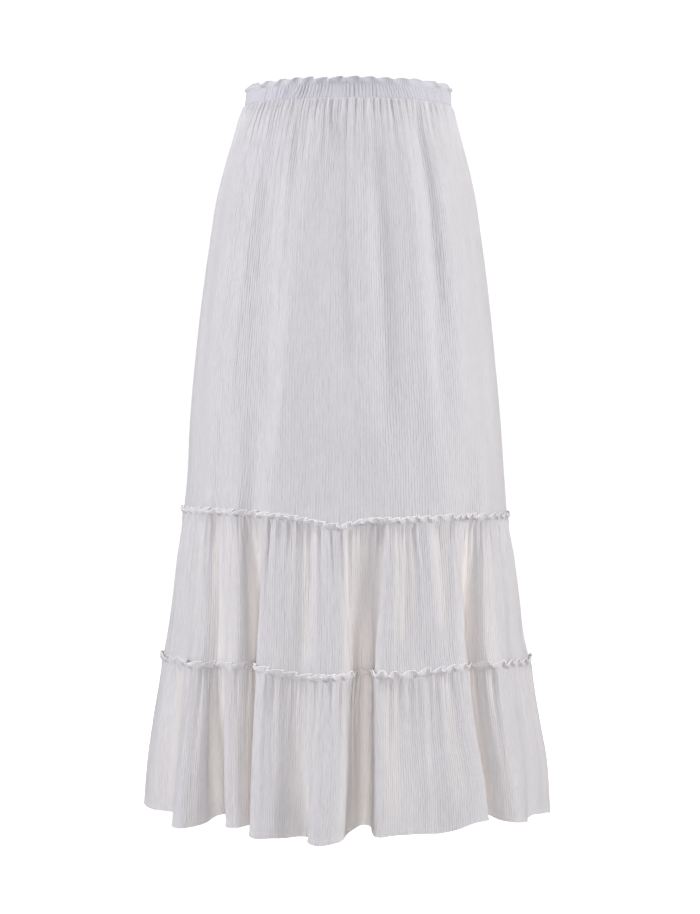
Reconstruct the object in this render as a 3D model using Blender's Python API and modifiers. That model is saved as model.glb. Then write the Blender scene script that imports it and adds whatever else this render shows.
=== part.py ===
"""Tiered ruffle skirt, worn and hollow, built as its maker cuts and sews it.

Each tier, casing and frilled heading has a front and a back, joined at the side seams. Every piece is an open sheet
laid over a grid, then given its wall by a Solidify modifier. Units are metres, +Z is up, the front faces -Y, and the
origin is the centre of the waist.
"""

import math
from typing import NamedTuple

import bmesh
import bpy
import numpy as np

# Heights of the seams, measured from the middle of the elastic casing.
HEADING_TOP = 0.0165
CASING_TOP = 0.0080
CASING_BOTTOM = -0.0080
UPPER_SEAM = -0.4860
LOWER_SEAM = -0.6560
HEM = -0.8335

# Walls, and the gap that keeps sewn pieces apart.
CLOTH_WALL = 0.0012
CASING_WALL = 0.0024
FRILL_WALL = 0.0010
SEAM_GAP = 0.0003
END_TILT = 0.2  # share of a wall that its tilted ends reach past the sheet
FRILL_GAP = 0.0013  # clears the corners that a frill's columns cut

# Frilled headings: how far they run along the cloth, and how far their waves stand out.
SEAM_FRILL_HEIGHT = 0.0085
SEAM_FRILL_OUT = 0.0042
SEAM_FRILL_LEAN = 0.0016
WAIST_FRILL_OUT = 0.0020
WAIST_FRILL_FLARE = 0.0015

# Waves round the whole skirt.
WAIST_FRILL_WAVES = 28
CASING_RIBS = 36
WAIST_GATHERS = 28
UPPER_FRILL_WAVES = 42
LOWER_FRILL_WAVES = 48

CASING_RIB_HEIGHT = 0.0007
GATHER_HEIGHT = 0.0024
GATHER_LENGTH = 0.050
GATHER_UNEVENNESS = 0.35
GATHER_STARTS = 0.020  # the casing's edge stays level, and the gathers reach their height this far below it
SEAM_SETTLES = (0.010, 0.160)  # where the top tier starts and ends taking the upper seam's ring, above it

# Grid steps of each half.
CELL_COLUMNS = 12
TOP_TIER_COLUMNS = 56
TOP_TIER_ROWS = 8
TOP_ROWS_CROWD = 1.15  # above 1 the rows crowd towards the casing
MIDDLE_TIER_ROWS = 3
BOTTOM_TIER_ROWS = 3
CASING_ROWS = 2
FRILL_ROWS = 1
RIB_COLUMNS = 4
WAVE_COLUMNS = 5

# How the lobes open out and the folds roll over as they deepen.
FOLD_PINCH = 0.30
ROLL_STARTS_AT = 0.006
ROLL_FULL_AT = 0.028

CLOTH_COLOUR = (0.79, 0.78, 0.81, 1.0)
CASING_COLOUR = (0.76, 0.76, 0.82, 1.0)
CLOTH_ROUGHNESS = 0.85


class Section(NamedTuple):
    """The outline round the skirt's ridges at one height."""

    z: float
    half_width: float
    front: float  # how far the front stands from the axis
    back: float  # how far the back stands from the axis
    shift: float  # sideways drift of the middle


SECTIONS = (
    Section(0.0165, 0.1207, 0.0920, 0.0900, 0.0006),
    Section(0.0000, 0.1205, 0.0910, 0.0900, 0.0006),
    Section(-0.0090, 0.1216, 0.0930, 0.0930, 0.0000),
    Section(-0.0210, 0.1258, 0.0970, 0.0990, -0.0008),
    Section(-0.0450, 0.1328, 0.1025, 0.1085, -0.0013),
    Section(-0.0800, 0.1430, 0.1080, 0.1180, -0.0018),
    Section(-0.1160, 0.1516, 0.1125, 0.1240, -0.0024),
    Section(-0.1630, 0.1590, 0.1180, 0.1280, -0.0026),
    Section(-0.2340, 0.1687, 0.1260, 0.1330, -0.0030),
    Section(-0.3040, 0.1764, 0.1330, 0.1380, -0.0034),
    Section(-0.3750, 0.1829, 0.1390, 0.1430, -0.0032),
    Section(-0.4460, 0.1874, 0.1440, 0.1470, -0.0026),
    Section(-0.4860, 0.1912, 0.1475, 0.1500, -0.0032),
    Section(-0.5400, 0.2000, 0.1545, 0.1570, -0.0026),
    Section(-0.5880, 0.2059, 0.1595, 0.1620, -0.0022),
    Section(-0.6350, 0.2124, 0.1650, 0.1670, -0.0028),
    Section(-0.6520, 0.2160, 0.1680, 0.1700, -0.0024),
    Section(-0.6820, 0.2207, 0.1720, 0.1745, -0.0026),
    Section(-0.7290, 0.2289, 0.1785, 0.1815, -0.0024),
    Section(-0.7760, 0.2366, 0.1850, 0.1880, -0.0014),
    Section(-0.8340, 0.2412, 0.1900, 0.1930, -0.0016),
)


class Fold(NamedTuple):
    """One ridge and the valley after it, seen from outside. Bearings are degrees from the front centre, turning to +X.
    Triples give the upper seam, the lower seam and the hem."""

    ridge: tuple
    valley: tuple
    depth: tuple
    roll: tuple  # overhang of the wall going in and of the wall coming out, upright at 1
    crest: float  # how far the ridge stands past the outline at the hem
    lift: tuple  # rise of the hem at the ridge and at the valley


FRONT_FOLDS = (
    Fold((-90.0, -90.0, -90.0), (-63.0, -62.0, -61.0), (0.002, 0.008, 0.024), (0.5, 1.2), 0.000, (0.004, 0.006)),
    Fold((-56.0, -53.0, -52.5), (-49.0, -43.5, -42.0), (0.004, 0.016, 0.046), (0.7, 0.8), 0.003, (-0.001, 0.010)),
    Fold((-41.0, -37.0, -35.0), (-34.0, -31.5, -30.5), (0.006, 0.031, 0.046), (0.6, 1.4), -0.022, (0.002, 0.004)),
    Fold((-26.0, -24.3, -24.5), (-15.0, -14.0, -13.0), (0.002, 0.006, 0.022), (0.6, 1.3), 0.000, (-0.001, -0.001)),
    Fold((-5.0, -5.0, -7.0), (8.5, 6.5, 5.5), (0.005, 0.028, 0.054), (0.3, 1.4), 0.010, (-0.004, 0.006)),
    Fold((15.0, 12.0, 10.0), (25.0, 24.0, 24.0), (0.0015, 0.004, 0.009), (0.4, 0.4), 0.002, (0.003, 0.002)),
    Fold((38.0, 36.5, 38.5), (49.0, 44.5, 46.5), (0.006, 0.031, 0.044), (1.4, 0.6), 0.000, (0.012, 0.011)),
    Fold((58.0, 54.0, 54.0), (69.0, 68.0, 67.0), (0.001, 0.005, 0.012), (0.5, 0.5), 0.002, (0.003, 0.001)),
)
BACK_FOLDS = (
    Fold((90.0, 90.0, 90.0), (101.0, 102.0, 103.0), (0.004, 0.018, 0.034), (0.8, 1.2), 0.000, (-0.007, 0.003)),
    Fold((111.0, 112.0, 113.0), (121.0, 121.0, 122.0), (0.002, 0.008, 0.018), (0.6, 0.6), 0.002, (0.000, 0.004)),
    Fold((131.0, 130.0, 131.0), (141.0, 140.0, 139.0), (0.006, 0.029, 0.044), (1.3, 0.9), 0.003, (-0.002, 0.010)),
    Fold((150.0, 149.0, 148.0), (159.0, 160.0, 160.0), (0.002, 0.006, 0.015), (0.5, 0.6), 0.000, (0.003, 0.003)),
    Fold((169.0, 169.0, 168.0), (178.0, 177.0, 176.0), (0.005, 0.026, 0.042), (0.9, 1.3), 0.002, (0.000, 0.010)),
    Fold((187.0, 187.0, 186.0), (196.0, 197.0, 198.0), (0.003, 0.010, 0.024), (0.6, 1.0), 0.004, (-0.004, 0.003)),
    Fold((206.0, 207.0, 207.0), (215.0, 216.0, 217.0), (0.006, 0.030, 0.044), (1.3, 0.8), 0.000, (0.002, 0.009)),
    Fold((226.0, 226.0, 227.0), (236.0, 236.0, 235.0), (0.002, 0.008, 0.016), (0.5, 0.6), 0.002, (0.001, 0.002)),
    Fold((246.0, 245.0, 244.0), (257.0, 257.0, 258.0), (0.004, 0.018, 0.030), (0.8, 1.1), 0.000, (0.000, 0.004)),
)
FOLDS = FRONT_FOLDS + BACK_FOLDS


class Crease(NamedTuple):
    """A soft ridge, or a trough where its height is negative, that runs down the top tier."""

    top_bearing: float
    bottom_bearing: float
    top_z: float
    bottom_z: float
    half_width: float  # degrees
    height: float


FRONT_CREASES = (
    Crease(-74.0, -70.0, -0.020, -0.380, 5.0, -0.0022),
    Crease(-58.0, -55.0, -0.015, -0.440, 6.0, 0.0036),
    Crease(-43.0, -35.0, -0.090, -0.480, 7.0, -0.0064),
    Crease(-30.0, -28.0, -0.020, -0.110, 3.5, 0.0026),
    Crease(-15.5, -26.0, -0.010, -0.480, 4.5, 0.0036),
    Crease(-4.0, 3.0, -0.010, -0.330, 6.0, -0.0050),
    Crease(7.0, 7.0, -0.110, -0.430, 4.0, 0.0028),
    Crease(13.0, 18.0, -0.060, -0.480, 5.5, -0.0046),
    Crease(27.0, 32.0, -0.010, -0.380, 4.5, 0.0028),
    Crease(38.0, 39.0, -0.020, -0.250, 3.5, -0.0038),
    Crease(47.0, 46.0, -0.060, -0.490, 6.0, 0.0040),
    Crease(66.0, 63.0, -0.040, -0.460, 5.0, -0.0028),
)
BACK_CREASES = (
    Crease(99.0, 101.0, -0.030, -0.400, 6.0, -0.0028),
    Crease(114.0, 112.0, -0.015, -0.330, 6.0, 0.0032),
    Crease(127.0, 131.0, -0.060, -0.470, 6.0, -0.0038),
    Crease(144.0, 146.0, -0.020, -0.300, 5.0, 0.0028),
    Crease(158.0, 157.0, -0.120, -0.480, 7.0, -0.0034),
    Crease(172.0, 170.0, -0.010, -0.400, 5.5, 0.0032),
    Crease(186.0, 189.0, -0.020, -0.360, 6.0, -0.0042),
    Crease(203.0, 205.0, -0.050, -0.470, 6.0, 0.0030),
    Crease(219.0, 216.0, -0.015, -0.280, 5.0, -0.0030),
    Crease(234.0, 235.0, -0.090, -0.480, 7.0, 0.0034),
    Crease(252.0, 249.0, -0.030, -0.430, 6.0, -0.0032),
)
CREASES = FRONT_CREASES + BACK_CREASES
CREASE_FADE = 0.060


class SeamRise(NamedTuple):
    """How far the two tier seams stand above their level at one bearing."""

    bearing: float
    upper: float
    lower: float


SEAM_RISES = (
    SeamRise(-90.0, 0.002, -0.002),
    SeamRise(-68.0, 0.004, -0.0005),
    SeamRise(-45.0, 0.005, 0.002),
    SeamRise(-28.0, 0.004, 0.003),
    SeamRise(-14.0, -0.001, -0.004),
    SeamRise(-1.0, -0.0085, -0.004),
    SeamRise(5.0, -0.0035, -0.002),
    SeamRise(18.0, -0.002, -0.0025),
    SeamRise(37.0, -0.0005, 0.002),
    SeamRise(52.0, -0.001, 0.000),
    SeamRise(90.0, -0.004, -0.0055),
    SeamRise(130.0, 0.001, 0.002),
    SeamRise(180.0, -0.002, 0.000),
    SeamRise(225.0, 0.002, 0.002),
)

FRONT = (-90.0, 90.0)
BACK = (90.0, 270.0)


def blend(low, high, value):
    """0 below low, 1 above high, and a smooth step between."""
    share = np.clip((value - low) / (high - low), 0.0, 1.0)
    return share * share * (3.0 - 2.0 * share)


def curve_through(knots, values, at):
    """A smooth curve through values at rising knots, read at each of at."""
    knots, values = np.asarray(knots, float), np.asarray(values, float)
    slopes = np.gradient(values, knots)
    cell = np.clip(np.searchsorted(knots, at) - 1, 0, len(knots) - 2)
    step = knots[cell + 1] - knots[cell]
    share = np.clip((at - knots[cell]) / step, 0.0, 1.0)
    start = (1.0 + 2.0 * share) * (1.0 - share) ** 2
    leave = share * (1.0 - share) ** 2 * step
    arrive = -(share**2) * (1.0 - share) * step
    return values[cell] * start + slopes[cell] * leave + values[cell + 1] * (1.0 - start) + slopes[cell + 1] * arrive


def section(column, z):
    """One column of the outline at height z."""
    rows = SECTIONS[::-1]
    return curve_through([row.z for row in rows], [getattr(row, column) for row in rows], z)


def outline(bearing, z):
    """The point on the outline at a bearing and height, and its outward direction, as x and y."""
    angle = np.radians(bearing)
    side, ahead = np.sin(angle), -np.cos(angle)
    width = section("half_width", z)
    depth = np.where(ahead < 0.0, section("front", z), section("back", z))
    out_x, out_y = side / width, ahead / depth
    size = np.hypot(out_x, out_y)
    return section("shift", z) + width * side, depth * ahead, out_x / size, out_y / size


def seam_rise(column, bearing):
    """The rise of a tier seam at a bearing, closed round the skirt."""
    rows = SEAM_RISES
    knots = [row.bearing for row in rows] + [rows[0].bearing + 360.0]
    values = [getattr(row, column) for row in rows] + [getattr(rows[0], column)]
    return curve_through(knots, values, (np.asarray(bearing) + 90.0) % 360.0 - 90.0)


def at_stage(triples, stage):
    """A smooth curve through values at the upper seam (0), the lower seam (1) and the hem (2)."""
    first, second, third = np.moveaxis(np.asarray(triples, float), -1, 0)
    return (
        first * (1.0 - stage) * (2.0 - stage) / 2.0
        + second * stage * (2.0 - stage)
        + third * stage * (stage - 1.0) / 2.0
    )


def fold_column(field, index):
    """The values of one field of FOLDS at each index, which may run past either end of the table."""
    return np.asarray([getattr(fold, field) for fold in FOLDS], float)[index % len(FOLDS)]


def fold_bearing(field, index, stage):
    """The bearing of a ridge or valley at a stage, wrapped on past either end of the table."""
    return at_stage(fold_column(field, index), stage) + 360.0 * (index // len(FOLDS))


def folded_point(along, stage):
    """The lower tiers' surface. along counts folds from the left side seam, and stage runs 0 to 2, seam to hem.
    Returns x, y, z and the outward direction of the plain outline."""
    along = np.asarray(along, float)
    index = np.floor(along).astype(int)
    share = along - index
    stage = np.broadcast_to(np.asarray(stage, float), along.shape)
    ridge = fold_bearing("ridge", index, stage)
    next_ridge = fold_bearing("ridge", index + 1, stage)
    valley = fold_bearing("valley", index, stage)
    depth = at_stage(fold_column("depth", index), stage)
    rolls = fold_column("roll", index)
    roll = np.where(share < 0.5, rolls[..., 0], rolls[..., 1])
    grown = blend(ROLL_STARTS_AT, ROLL_FULL_AT, depth)
    across = share + grown * (
        roll * np.sin(4.0 * math.pi * share) / (4.0 * math.pi)
        + FOLD_PINCH * np.sin(2.0 * math.pi * share) / (2.0 * math.pi)
    )
    bearing = np.where(
        share < 0.5,
        ridge + 2.0 * across * (valley - ridge),
        valley + (2.0 * across - 1.0) * (next_ridge - valley),
    )
    dip = (1.0 - np.cos(2.0 * math.pi * share)) / 2.0
    crest = fold_column("crest", index) * (1.0 - share) + fold_column("crest", index + 1) * share
    lift = fold_column("lift", index)
    next_lift = fold_column("lift", index + 1)
    ridge_lift = lift[..., 0] * (1.0 - share) + next_lift[..., 0] * share
    hem_lift = ridge_lift * (1.0 - dip) + lift[..., 1] * dip
    at_hem = (stage / 2.0) ** 2
    seams = [
        UPPER_SEAM + seam_rise("upper", bearing),
        LOWER_SEAM + seam_rise("lower", bearing),
        HEM + hem_lift,
    ]
    z = np.where(
        stage <= 1.0,
        seams[0] + (seams[1] - seams[0]) * stage,
        seams[1] + (seams[2] - seams[1]) * (stage - 1.0),
    )
    x, y, out_x, out_y = outline(bearing, z)
    out = crest * (1.0 - dip) * at_hem - depth * dip
    return x + out_x * out, y + out_y * out, z, out_x, out_y


def seam_dip(bearing):
    """How far the upper seam lies inside the outline at a bearing, the same ring as folded_point at stage 0."""
    knots, shares = [], []
    for number in range(len(FOLDS) + 1):
        fold = FOLDS[number % len(FOLDS)]
        turn = 360.0 * (number // len(FOLDS))
        knots += [fold.ridge[0] + turn, fold.valley[0] + turn]
        shares += [float(number), number + 0.5]
    along = np.interp((np.asarray(bearing) + 90.0) % 360.0 - 90.0, knots, shares)
    index = np.floor(along).astype(int)
    depth = fold_column("depth", index)[..., 0]
    return depth * (1.0 - np.cos(2.0 * math.pi * (along - index))) / 2.0


def creases(bearing, z):
    """How far the top tier's creases move its surface out."""
    moved = np.zeros(np.broadcast(bearing, z).shape)
    for crease in CREASES:
        down = np.clip((crease.top_z - z) / (crease.top_z - crease.bottom_z), 0.0, 1.0)
        middle = crease.top_bearing + (crease.bottom_bearing - crease.top_bearing) * down
        away = (bearing - middle + 180.0) % 360.0 - 180.0
        inside = blend(crease.bottom_z - CREASE_FADE, crease.bottom_z + CREASE_FADE, z)
        inside = inside * (1.0 - blend(crease.top_z - CREASE_FADE / 2.0, crease.top_z + CREASE_FADE / 4.0, z))
        moved = moved + crease.height * inside * np.exp(-((away / crease.half_width) ** 2))
    return moved


def gathers(bearing, below):
    """Gathers that hang from the casing and fade with the distance below it, some of them sooner."""
    turns = np.radians(bearing) * WAIST_GATHERS
    uneven = np.sin(turns + 1.3 * np.sin(np.radians(bearing) * 5.0))
    length = GATHER_LENGTH * (1.0 + GATHER_UNEVENNESS * np.sin(np.radians(bearing) * 7.0 + 0.6))
    return GATHER_HEIGHT * uneven * np.exp(-below / length)


def wall_of(sheet, thickness):
    """Gives an open sheet its wall, half on each side."""
    solid = sheet.modifiers.new("wall", "SOLIDIFY")
    solid.thickness = thickness
    solid.offset = 0.0
    solid.use_rim = True


def cloth_material(name, colour):
    """A plain matt cloth."""
    material = bpy.data.materials.new(name)
    material.use_nodes = True
    shader = material.node_tree.nodes["Principled BSDF"]
    shader.inputs["Base Color"].default_value = colour
    shader.inputs["Roughness"].default_value = CLOTH_ROUGHNESS
    shader.inputs["Metallic"].default_value = 0.0
    return material


def cloth(name, columns, rows, place, thickness, colour, collection):
    """A sheet over a grid. place takes the shares along and up the sheet, 0 to 1, and gives x, y and z."""
    grid = bmesh.new()
    bmesh.ops.create_grid(grid, x_segments=columns, y_segments=rows, size=0.5)
    shares = np.array([vertex.co for vertex in grid.verts]) + 0.5
    points = np.stack(place(shares[:, 0], shares[:, 1]), axis=-1)
    for vertex, point in zip(grid.verts, points):
        vertex.co = point
    mesh = bpy.data.meshes.new(name)
    grid.to_mesh(mesh)
    grid.free()
    mesh.materials.append(cloth_material(f"{name}_cloth", colour))
    mesh.shade_smooth()
    sheet = bpy.data.objects.new(name, mesh)
    collection.objects.link(sheet)
    wall_of(sheet, thickness)
    return sheet


def side_clearance(wall):
    """How far a sheet ends from the middle of a side seam, so that its wall stays clear of the other half."""
    return SEAM_GAP / 2.0 + END_TILT * wall


def spread(side, share, z, wall):
    """The bearing at a share of a half, clear of the side seams."""
    gap = np.degrees(side_clearance(wall) / section("front", z))
    return side[0] + gap + share * (side[1] - side[0] - 2.0 * gap)


def casing_half(name, side, collection):
    """The elastic casing: a thick ribbed band between its two rows of stitching."""

    def place(share, up):
        z = CASING_BOTTOM + SEAM_GAP / 2.0 + up * (CASING_TOP - CASING_BOTTOM - SEAM_GAP)
        bearing = spread(side, share, z, CASING_WALL)
        x, y, out_x, out_y = outline(bearing, z)
        puff = 0.3 + 0.7 * np.sin(math.pi * up)
        rib = CASING_RIB_HEIGHT * puff * np.cos(np.radians(bearing) * CASING_RIBS)
        return x + out_x * rib, y + out_y * rib, z

    columns = CASING_RIBS // 2 * RIB_COLUMNS
    return cloth(name, columns, CASING_ROWS, place, CASING_WALL, CASING_COLOUR, collection)


def waist_frill_half(name, side, collection):
    """The wavy heading that stands above the casing."""

    def place(share, up):
        z = CASING_TOP + SEAM_GAP / 2.0 + up * (HEADING_TOP - CASING_TOP)
        bearing = spread(side, share, z, FRILL_WALL)
        x, y, out_x, out_y = outline(bearing, z)
        wave = np.cos(np.radians(bearing) * WAIST_FRILL_WAVES + 0.8 * np.sin(np.radians(bearing) * 3.0))
        out = up * (WAIST_FRILL_OUT * wave + WAIST_FRILL_FLARE)
        return x + out_x * out, y + out_y * out, z

    columns = WAIST_FRILL_WAVES // 2 * WAVE_COLUMNS
    return cloth(name, columns, FRILL_ROWS, place, FRILL_WALL, CLOTH_COLOUR, collection)


def top_tier_half(name, side, collection):
    """The long hip panel, gathered into the casing and smooth where the middle tier is sewn on."""

    def place(share, up):
        bearing = spread(side, share, UPPER_SEAM, CLOTH_WALL)
        low = UPPER_SEAM + seam_rise("upper", bearing) + SEAM_GAP / 2.0
        high = CASING_BOTTOM - SEAM_GAP / 2.0
        z = high + (low - high) * (1.0 - up) ** TOP_ROWS_CROWD
        x, y, out_x, out_y = outline(bearing, z)
        near_seam = 1.0 - blend(*SEAM_SETTLES, z - UPPER_SEAM)
        settled = blend(0.0, GATHER_STARTS, CASING_BOTTOM - z)
        out = creases(bearing, z) * (1.0 - near_seam) + gathers(bearing, CASING_BOTTOM - z) * settled
        out = out - seam_dip(bearing) * near_seam
        return x + out_x * out, y + out_y * out, z

    return cloth(name, TOP_TIER_COLUMNS, TOP_TIER_ROWS, place, CLOTH_WALL, CLOTH_COLOUR, collection)


def fold_shares(first, count, share, stage, wall):
    """Positions along a half's folds, drawn in at the ends by the side seam's gap."""
    step = 0.005
    drawn_in = []
    for end, inward in ((first, step), (first + count, -step)):
        seam_x, seam_y = folded_point(np.full(np.shape(share), float(end)), stage)[:2]
        next_x, next_y = folded_point(np.full(np.shape(share), end + inward), stage)[:2]
        drawn_in.append(side_clearance(wall) * step / np.hypot(next_x - seam_x, next_y - seam_y))
    return first + drawn_in[0] + share * (count - drawn_in[0] - drawn_in[1])


def facet_point(along, stage):
    """A point on the flat between two of a tier's columns."""
    low = np.floor(along * CELL_COLUMNS) / CELL_COLUMNS
    share = (along - low) * CELL_COLUMNS
    left, right = folded_point(low, stage)[:3], folded_point(low + 1.0 / CELL_COLUMNS, stage)[:3]
    return [start + (end - start) * share for start, end in zip(left, right)]


def even_shares(first, count, share, stage):
    """Shares of a half's folds that step evenly along the cloth at one stage."""
    finest = np.linspace(0.0, 1.0, 1 + count * 60)
    x, y = folded_point(first + count * finest, stage)[:2]
    run = np.concatenate(([0.0], np.cumsum(np.hypot(np.diff(x), np.diff(y)))))
    return np.interp(share * run[-1], run, finest)


def tier_half(name, first, count, stages, rows, collection):
    """A lower tier between two stages, its folds running on from the tier above."""
    start, end = stages
    length = (LOWER_SEAM - UPPER_SEAM) if start < 1.0 else (HEM - LOWER_SEAM)
    inset = SEAM_GAP / 2.0 / abs(length)

    def place(share, up):
        stage = end + (start + inset - end) * up
        return folded_point(fold_shares(first, count, share, stage, CLOTH_WALL), stage)[:3]

    return cloth(name, count * CELL_COLUMNS, rows, place, CLOTH_WALL, CLOTH_COLOUR, collection)


def seam_frill_half(name, first, count, stage, waves, collection):
    """The narrow gathered heading that lies on the tier above a seam, made from that tier's points moved out."""
    clear = CLOTH_WALL / 2.0 + FRILL_GAP + FRILL_WALL / 2.0

    def place(share, up):
        height = SEAM_GAP + SEAM_FRILL_HEIGHT * up
        below = height / (UPPER_SEAM - LOWER_SEAM) if stage > 0.0 else 0.0
        even = even_shares(first, count, share, stage)
        along = fold_shares(first, count, even, stage, FRILL_WALL)
        x, y, _ = facet_point(along, stage - below)
        z = facet_point(along, stage)[2] + height
        ahead = folded_point(along + 0.02, stage - below)
        behind = folded_point(along - 0.02, stage - below)
        step_x, step_y = ahead[0] - behind[0], ahead[1] - behind[1]
        size = np.hypot(step_x, step_y)
        turns = 2.0 * math.pi * share
        wave = 0.5 + 0.5 * np.cos(turns * waves + 0.9 * np.sin(turns * 4.0))
        out = clear + up * SEAM_FRILL_LEAN + SEAM_FRILL_OUT * wave * (0.25 + 0.75 * up)
        return x + out * step_y / size, y - out * step_x / size, z

    return cloth(name, waves * WAVE_COLUMNS, FRILL_ROWS, place, FRILL_WALL, CLOTH_COLOUR, collection)


def clear_scene():
    """Removes the objects of the scene that the script starts in."""
    for old in list(bpy.data.objects):
        bpy.data.objects.remove(old)


def main():
    clear_scene()
    skirt = bpy.data.collections.new("tiered_ruffle_skirt")
    bpy.context.scene.collection.children.link(skirt)
    halves = (("front", FRONT, 0, len(FRONT_FOLDS)), ("back", BACK, len(FRONT_FOLDS), len(BACK_FOLDS)))
    for half, side, first, count in halves:
        waist_frill_half(f"waist_frill_{half}", side, skirt)
        casing_half(f"casing_{half}", side, skirt)
        top_tier_half(f"top_tier_{half}", side, skirt)
        seam_frill_half(f"upper_frill_{half}", first, count, 0.0, UPPER_FRILL_WAVES // 2, skirt)
        tier_half(f"middle_tier_{half}", first, count, (0.0, 1.0), MIDDLE_TIER_ROWS, skirt)
        seam_frill_half(f"lower_frill_{half}", first, count, 1.0, LOWER_FRILL_WAVES // 2, skirt)
        tier_half(f"bottom_tier_{half}", first, count, (1.0, 2.0), BOTTOM_TIER_ROWS, skirt)


main()
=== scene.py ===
"""Tiered ruffle skirt of crinkle cloth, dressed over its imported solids.

Each cloth piece starts as a grid that is laid over the skirt's surface, gets its gathers and crinkles along the
cloth's own outward direction, and is then given its wall. Units are metres, +Z is up and the front faces -Y.
"""

import math
from typing import NamedTuple

import bmesh
import bpy
import numpy as np
from bpy.props import FloatProperty, FloatVectorProperty, IntProperty, PointerProperty
from mathutils import Matrix, Vector


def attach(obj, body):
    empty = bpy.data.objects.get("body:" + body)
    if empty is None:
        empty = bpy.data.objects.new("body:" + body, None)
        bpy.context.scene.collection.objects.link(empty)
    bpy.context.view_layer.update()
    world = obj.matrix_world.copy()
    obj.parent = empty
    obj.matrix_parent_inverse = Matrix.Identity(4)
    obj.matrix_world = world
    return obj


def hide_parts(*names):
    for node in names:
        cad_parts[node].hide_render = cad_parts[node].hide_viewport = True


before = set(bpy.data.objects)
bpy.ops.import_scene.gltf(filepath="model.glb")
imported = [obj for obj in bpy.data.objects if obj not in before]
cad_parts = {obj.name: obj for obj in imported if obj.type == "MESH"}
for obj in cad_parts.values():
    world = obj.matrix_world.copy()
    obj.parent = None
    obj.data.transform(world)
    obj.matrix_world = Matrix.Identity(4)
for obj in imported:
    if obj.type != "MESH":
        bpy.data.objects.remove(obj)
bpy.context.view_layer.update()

bl_info = {
    "name": "Tiered Ruffle Skirt",
    "version": (1, 0, 0),
    "blender": (4, 5, 0),
    "location": "3D View > Sidebar > Skirt",
    "description": "Dresses a tiered ruffle skirt in crinkle cloth, with its frills, hem and stitching",
    "category": "Add Mesh",
}


def rows_of(kind, *rows):
    """A table whose rows are all of one kind."""
    return tuple(kind(*row) for row in rows)


# Heights of the seams, measured from the middle of the elastic casing.
HEADING_TOP = 0.0165
CASING_TOP = 0.0080
CASING_BOTTOM = -0.0080
UPPER_SEAM = -0.4860
LOWER_SEAM = -0.6560
HEM = -0.8335

# How the lobes open out and the folds roll over as they deepen.
FOLD_PINCH = 0.30
ROLL_STARTS_AT = 0.006
ROLL_FULL_AT = 0.028

# Heights above the upper seam between which the top tier leaves the seam's folds for its own creases.
SEAM_SETTLES = (0.010, 0.160)
CREASE_FADE = 0.060

# How warm and bright the painted light gets between the walls of a fold: least in the folds that stay shallow.
SHALLOW_FOLD_PAINTED_LIGHT = 0.40
DEEP_STARTS_AT = 0.012
DEEP_OVER = 0.014
PAINTED_LIGHT_OVER = 0.018


class Section(NamedTuple):
    """The outline round the skirt's ridges at one height."""

    z: float
    half_width: float
    front: float  # how far the front stands from the axis
    back: float  # how far the back stands from the axis
    shift: float  # sideways drift of the middle


SECTIONS = rows_of(
    Section,
    (0.0165, 0.1207, 0.0920, 0.0900, 0.0006),
    (0.0000, 0.1205, 0.0910, 0.0900, 0.0006),
    (-0.0090, 0.1216, 0.0930, 0.0930, 0.0000),
    (-0.0210, 0.1258, 0.0970, 0.0990, -0.0008),
    (-0.0450, 0.1328, 0.1025, 0.1085, -0.0013),
    (-0.0800, 0.1430, 0.1080, 0.1180, -0.0018),
    (-0.1160, 0.1516, 0.1125, 0.1240, -0.0024),
    (-0.1630, 0.1590, 0.1180, 0.1280, -0.0026),
    (-0.2340, 0.1687, 0.1260, 0.1330, -0.0030),
    (-0.3040, 0.1764, 0.1330, 0.1380, -0.0034),
    (-0.3750, 0.1829, 0.1390, 0.1430, -0.0032),
    (-0.4460, 0.1874, 0.1440, 0.1470, -0.0026),
    (-0.4860, 0.1912, 0.1475, 0.1500, -0.0032),
    (-0.5400, 0.2000, 0.1545, 0.1570, -0.0026),
    (-0.5880, 0.2059, 0.1595, 0.1620, -0.0022),
    (-0.6350, 0.2124, 0.1650, 0.1670, -0.0028),
    (-0.6520, 0.2160, 0.1680, 0.1700, -0.0024),
    (-0.6820, 0.2207, 0.1720, 0.1745, -0.0026),
    (-0.7290, 0.2289, 0.1785, 0.1815, -0.0024),
    (-0.7760, 0.2366, 0.1850, 0.1880, -0.0014),
    (-0.8340, 0.2412, 0.1900, 0.1930, -0.0016),
)


class Fold(NamedTuple):
    """One ridge and the valley after it, seen from outside. Bearings are degrees from the front centre, turning to +X.
    Triples give the upper seam, the lower seam and the hem."""

    ridge: tuple
    valley: tuple
    depth: tuple
    roll: tuple  # overhang of the wall going in and of the wall coming out, upright at 1
    crest: float  # how far the ridge stands past the outline at the hem
    lift: tuple  # rise of the hem at the ridge and at the valley


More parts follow.
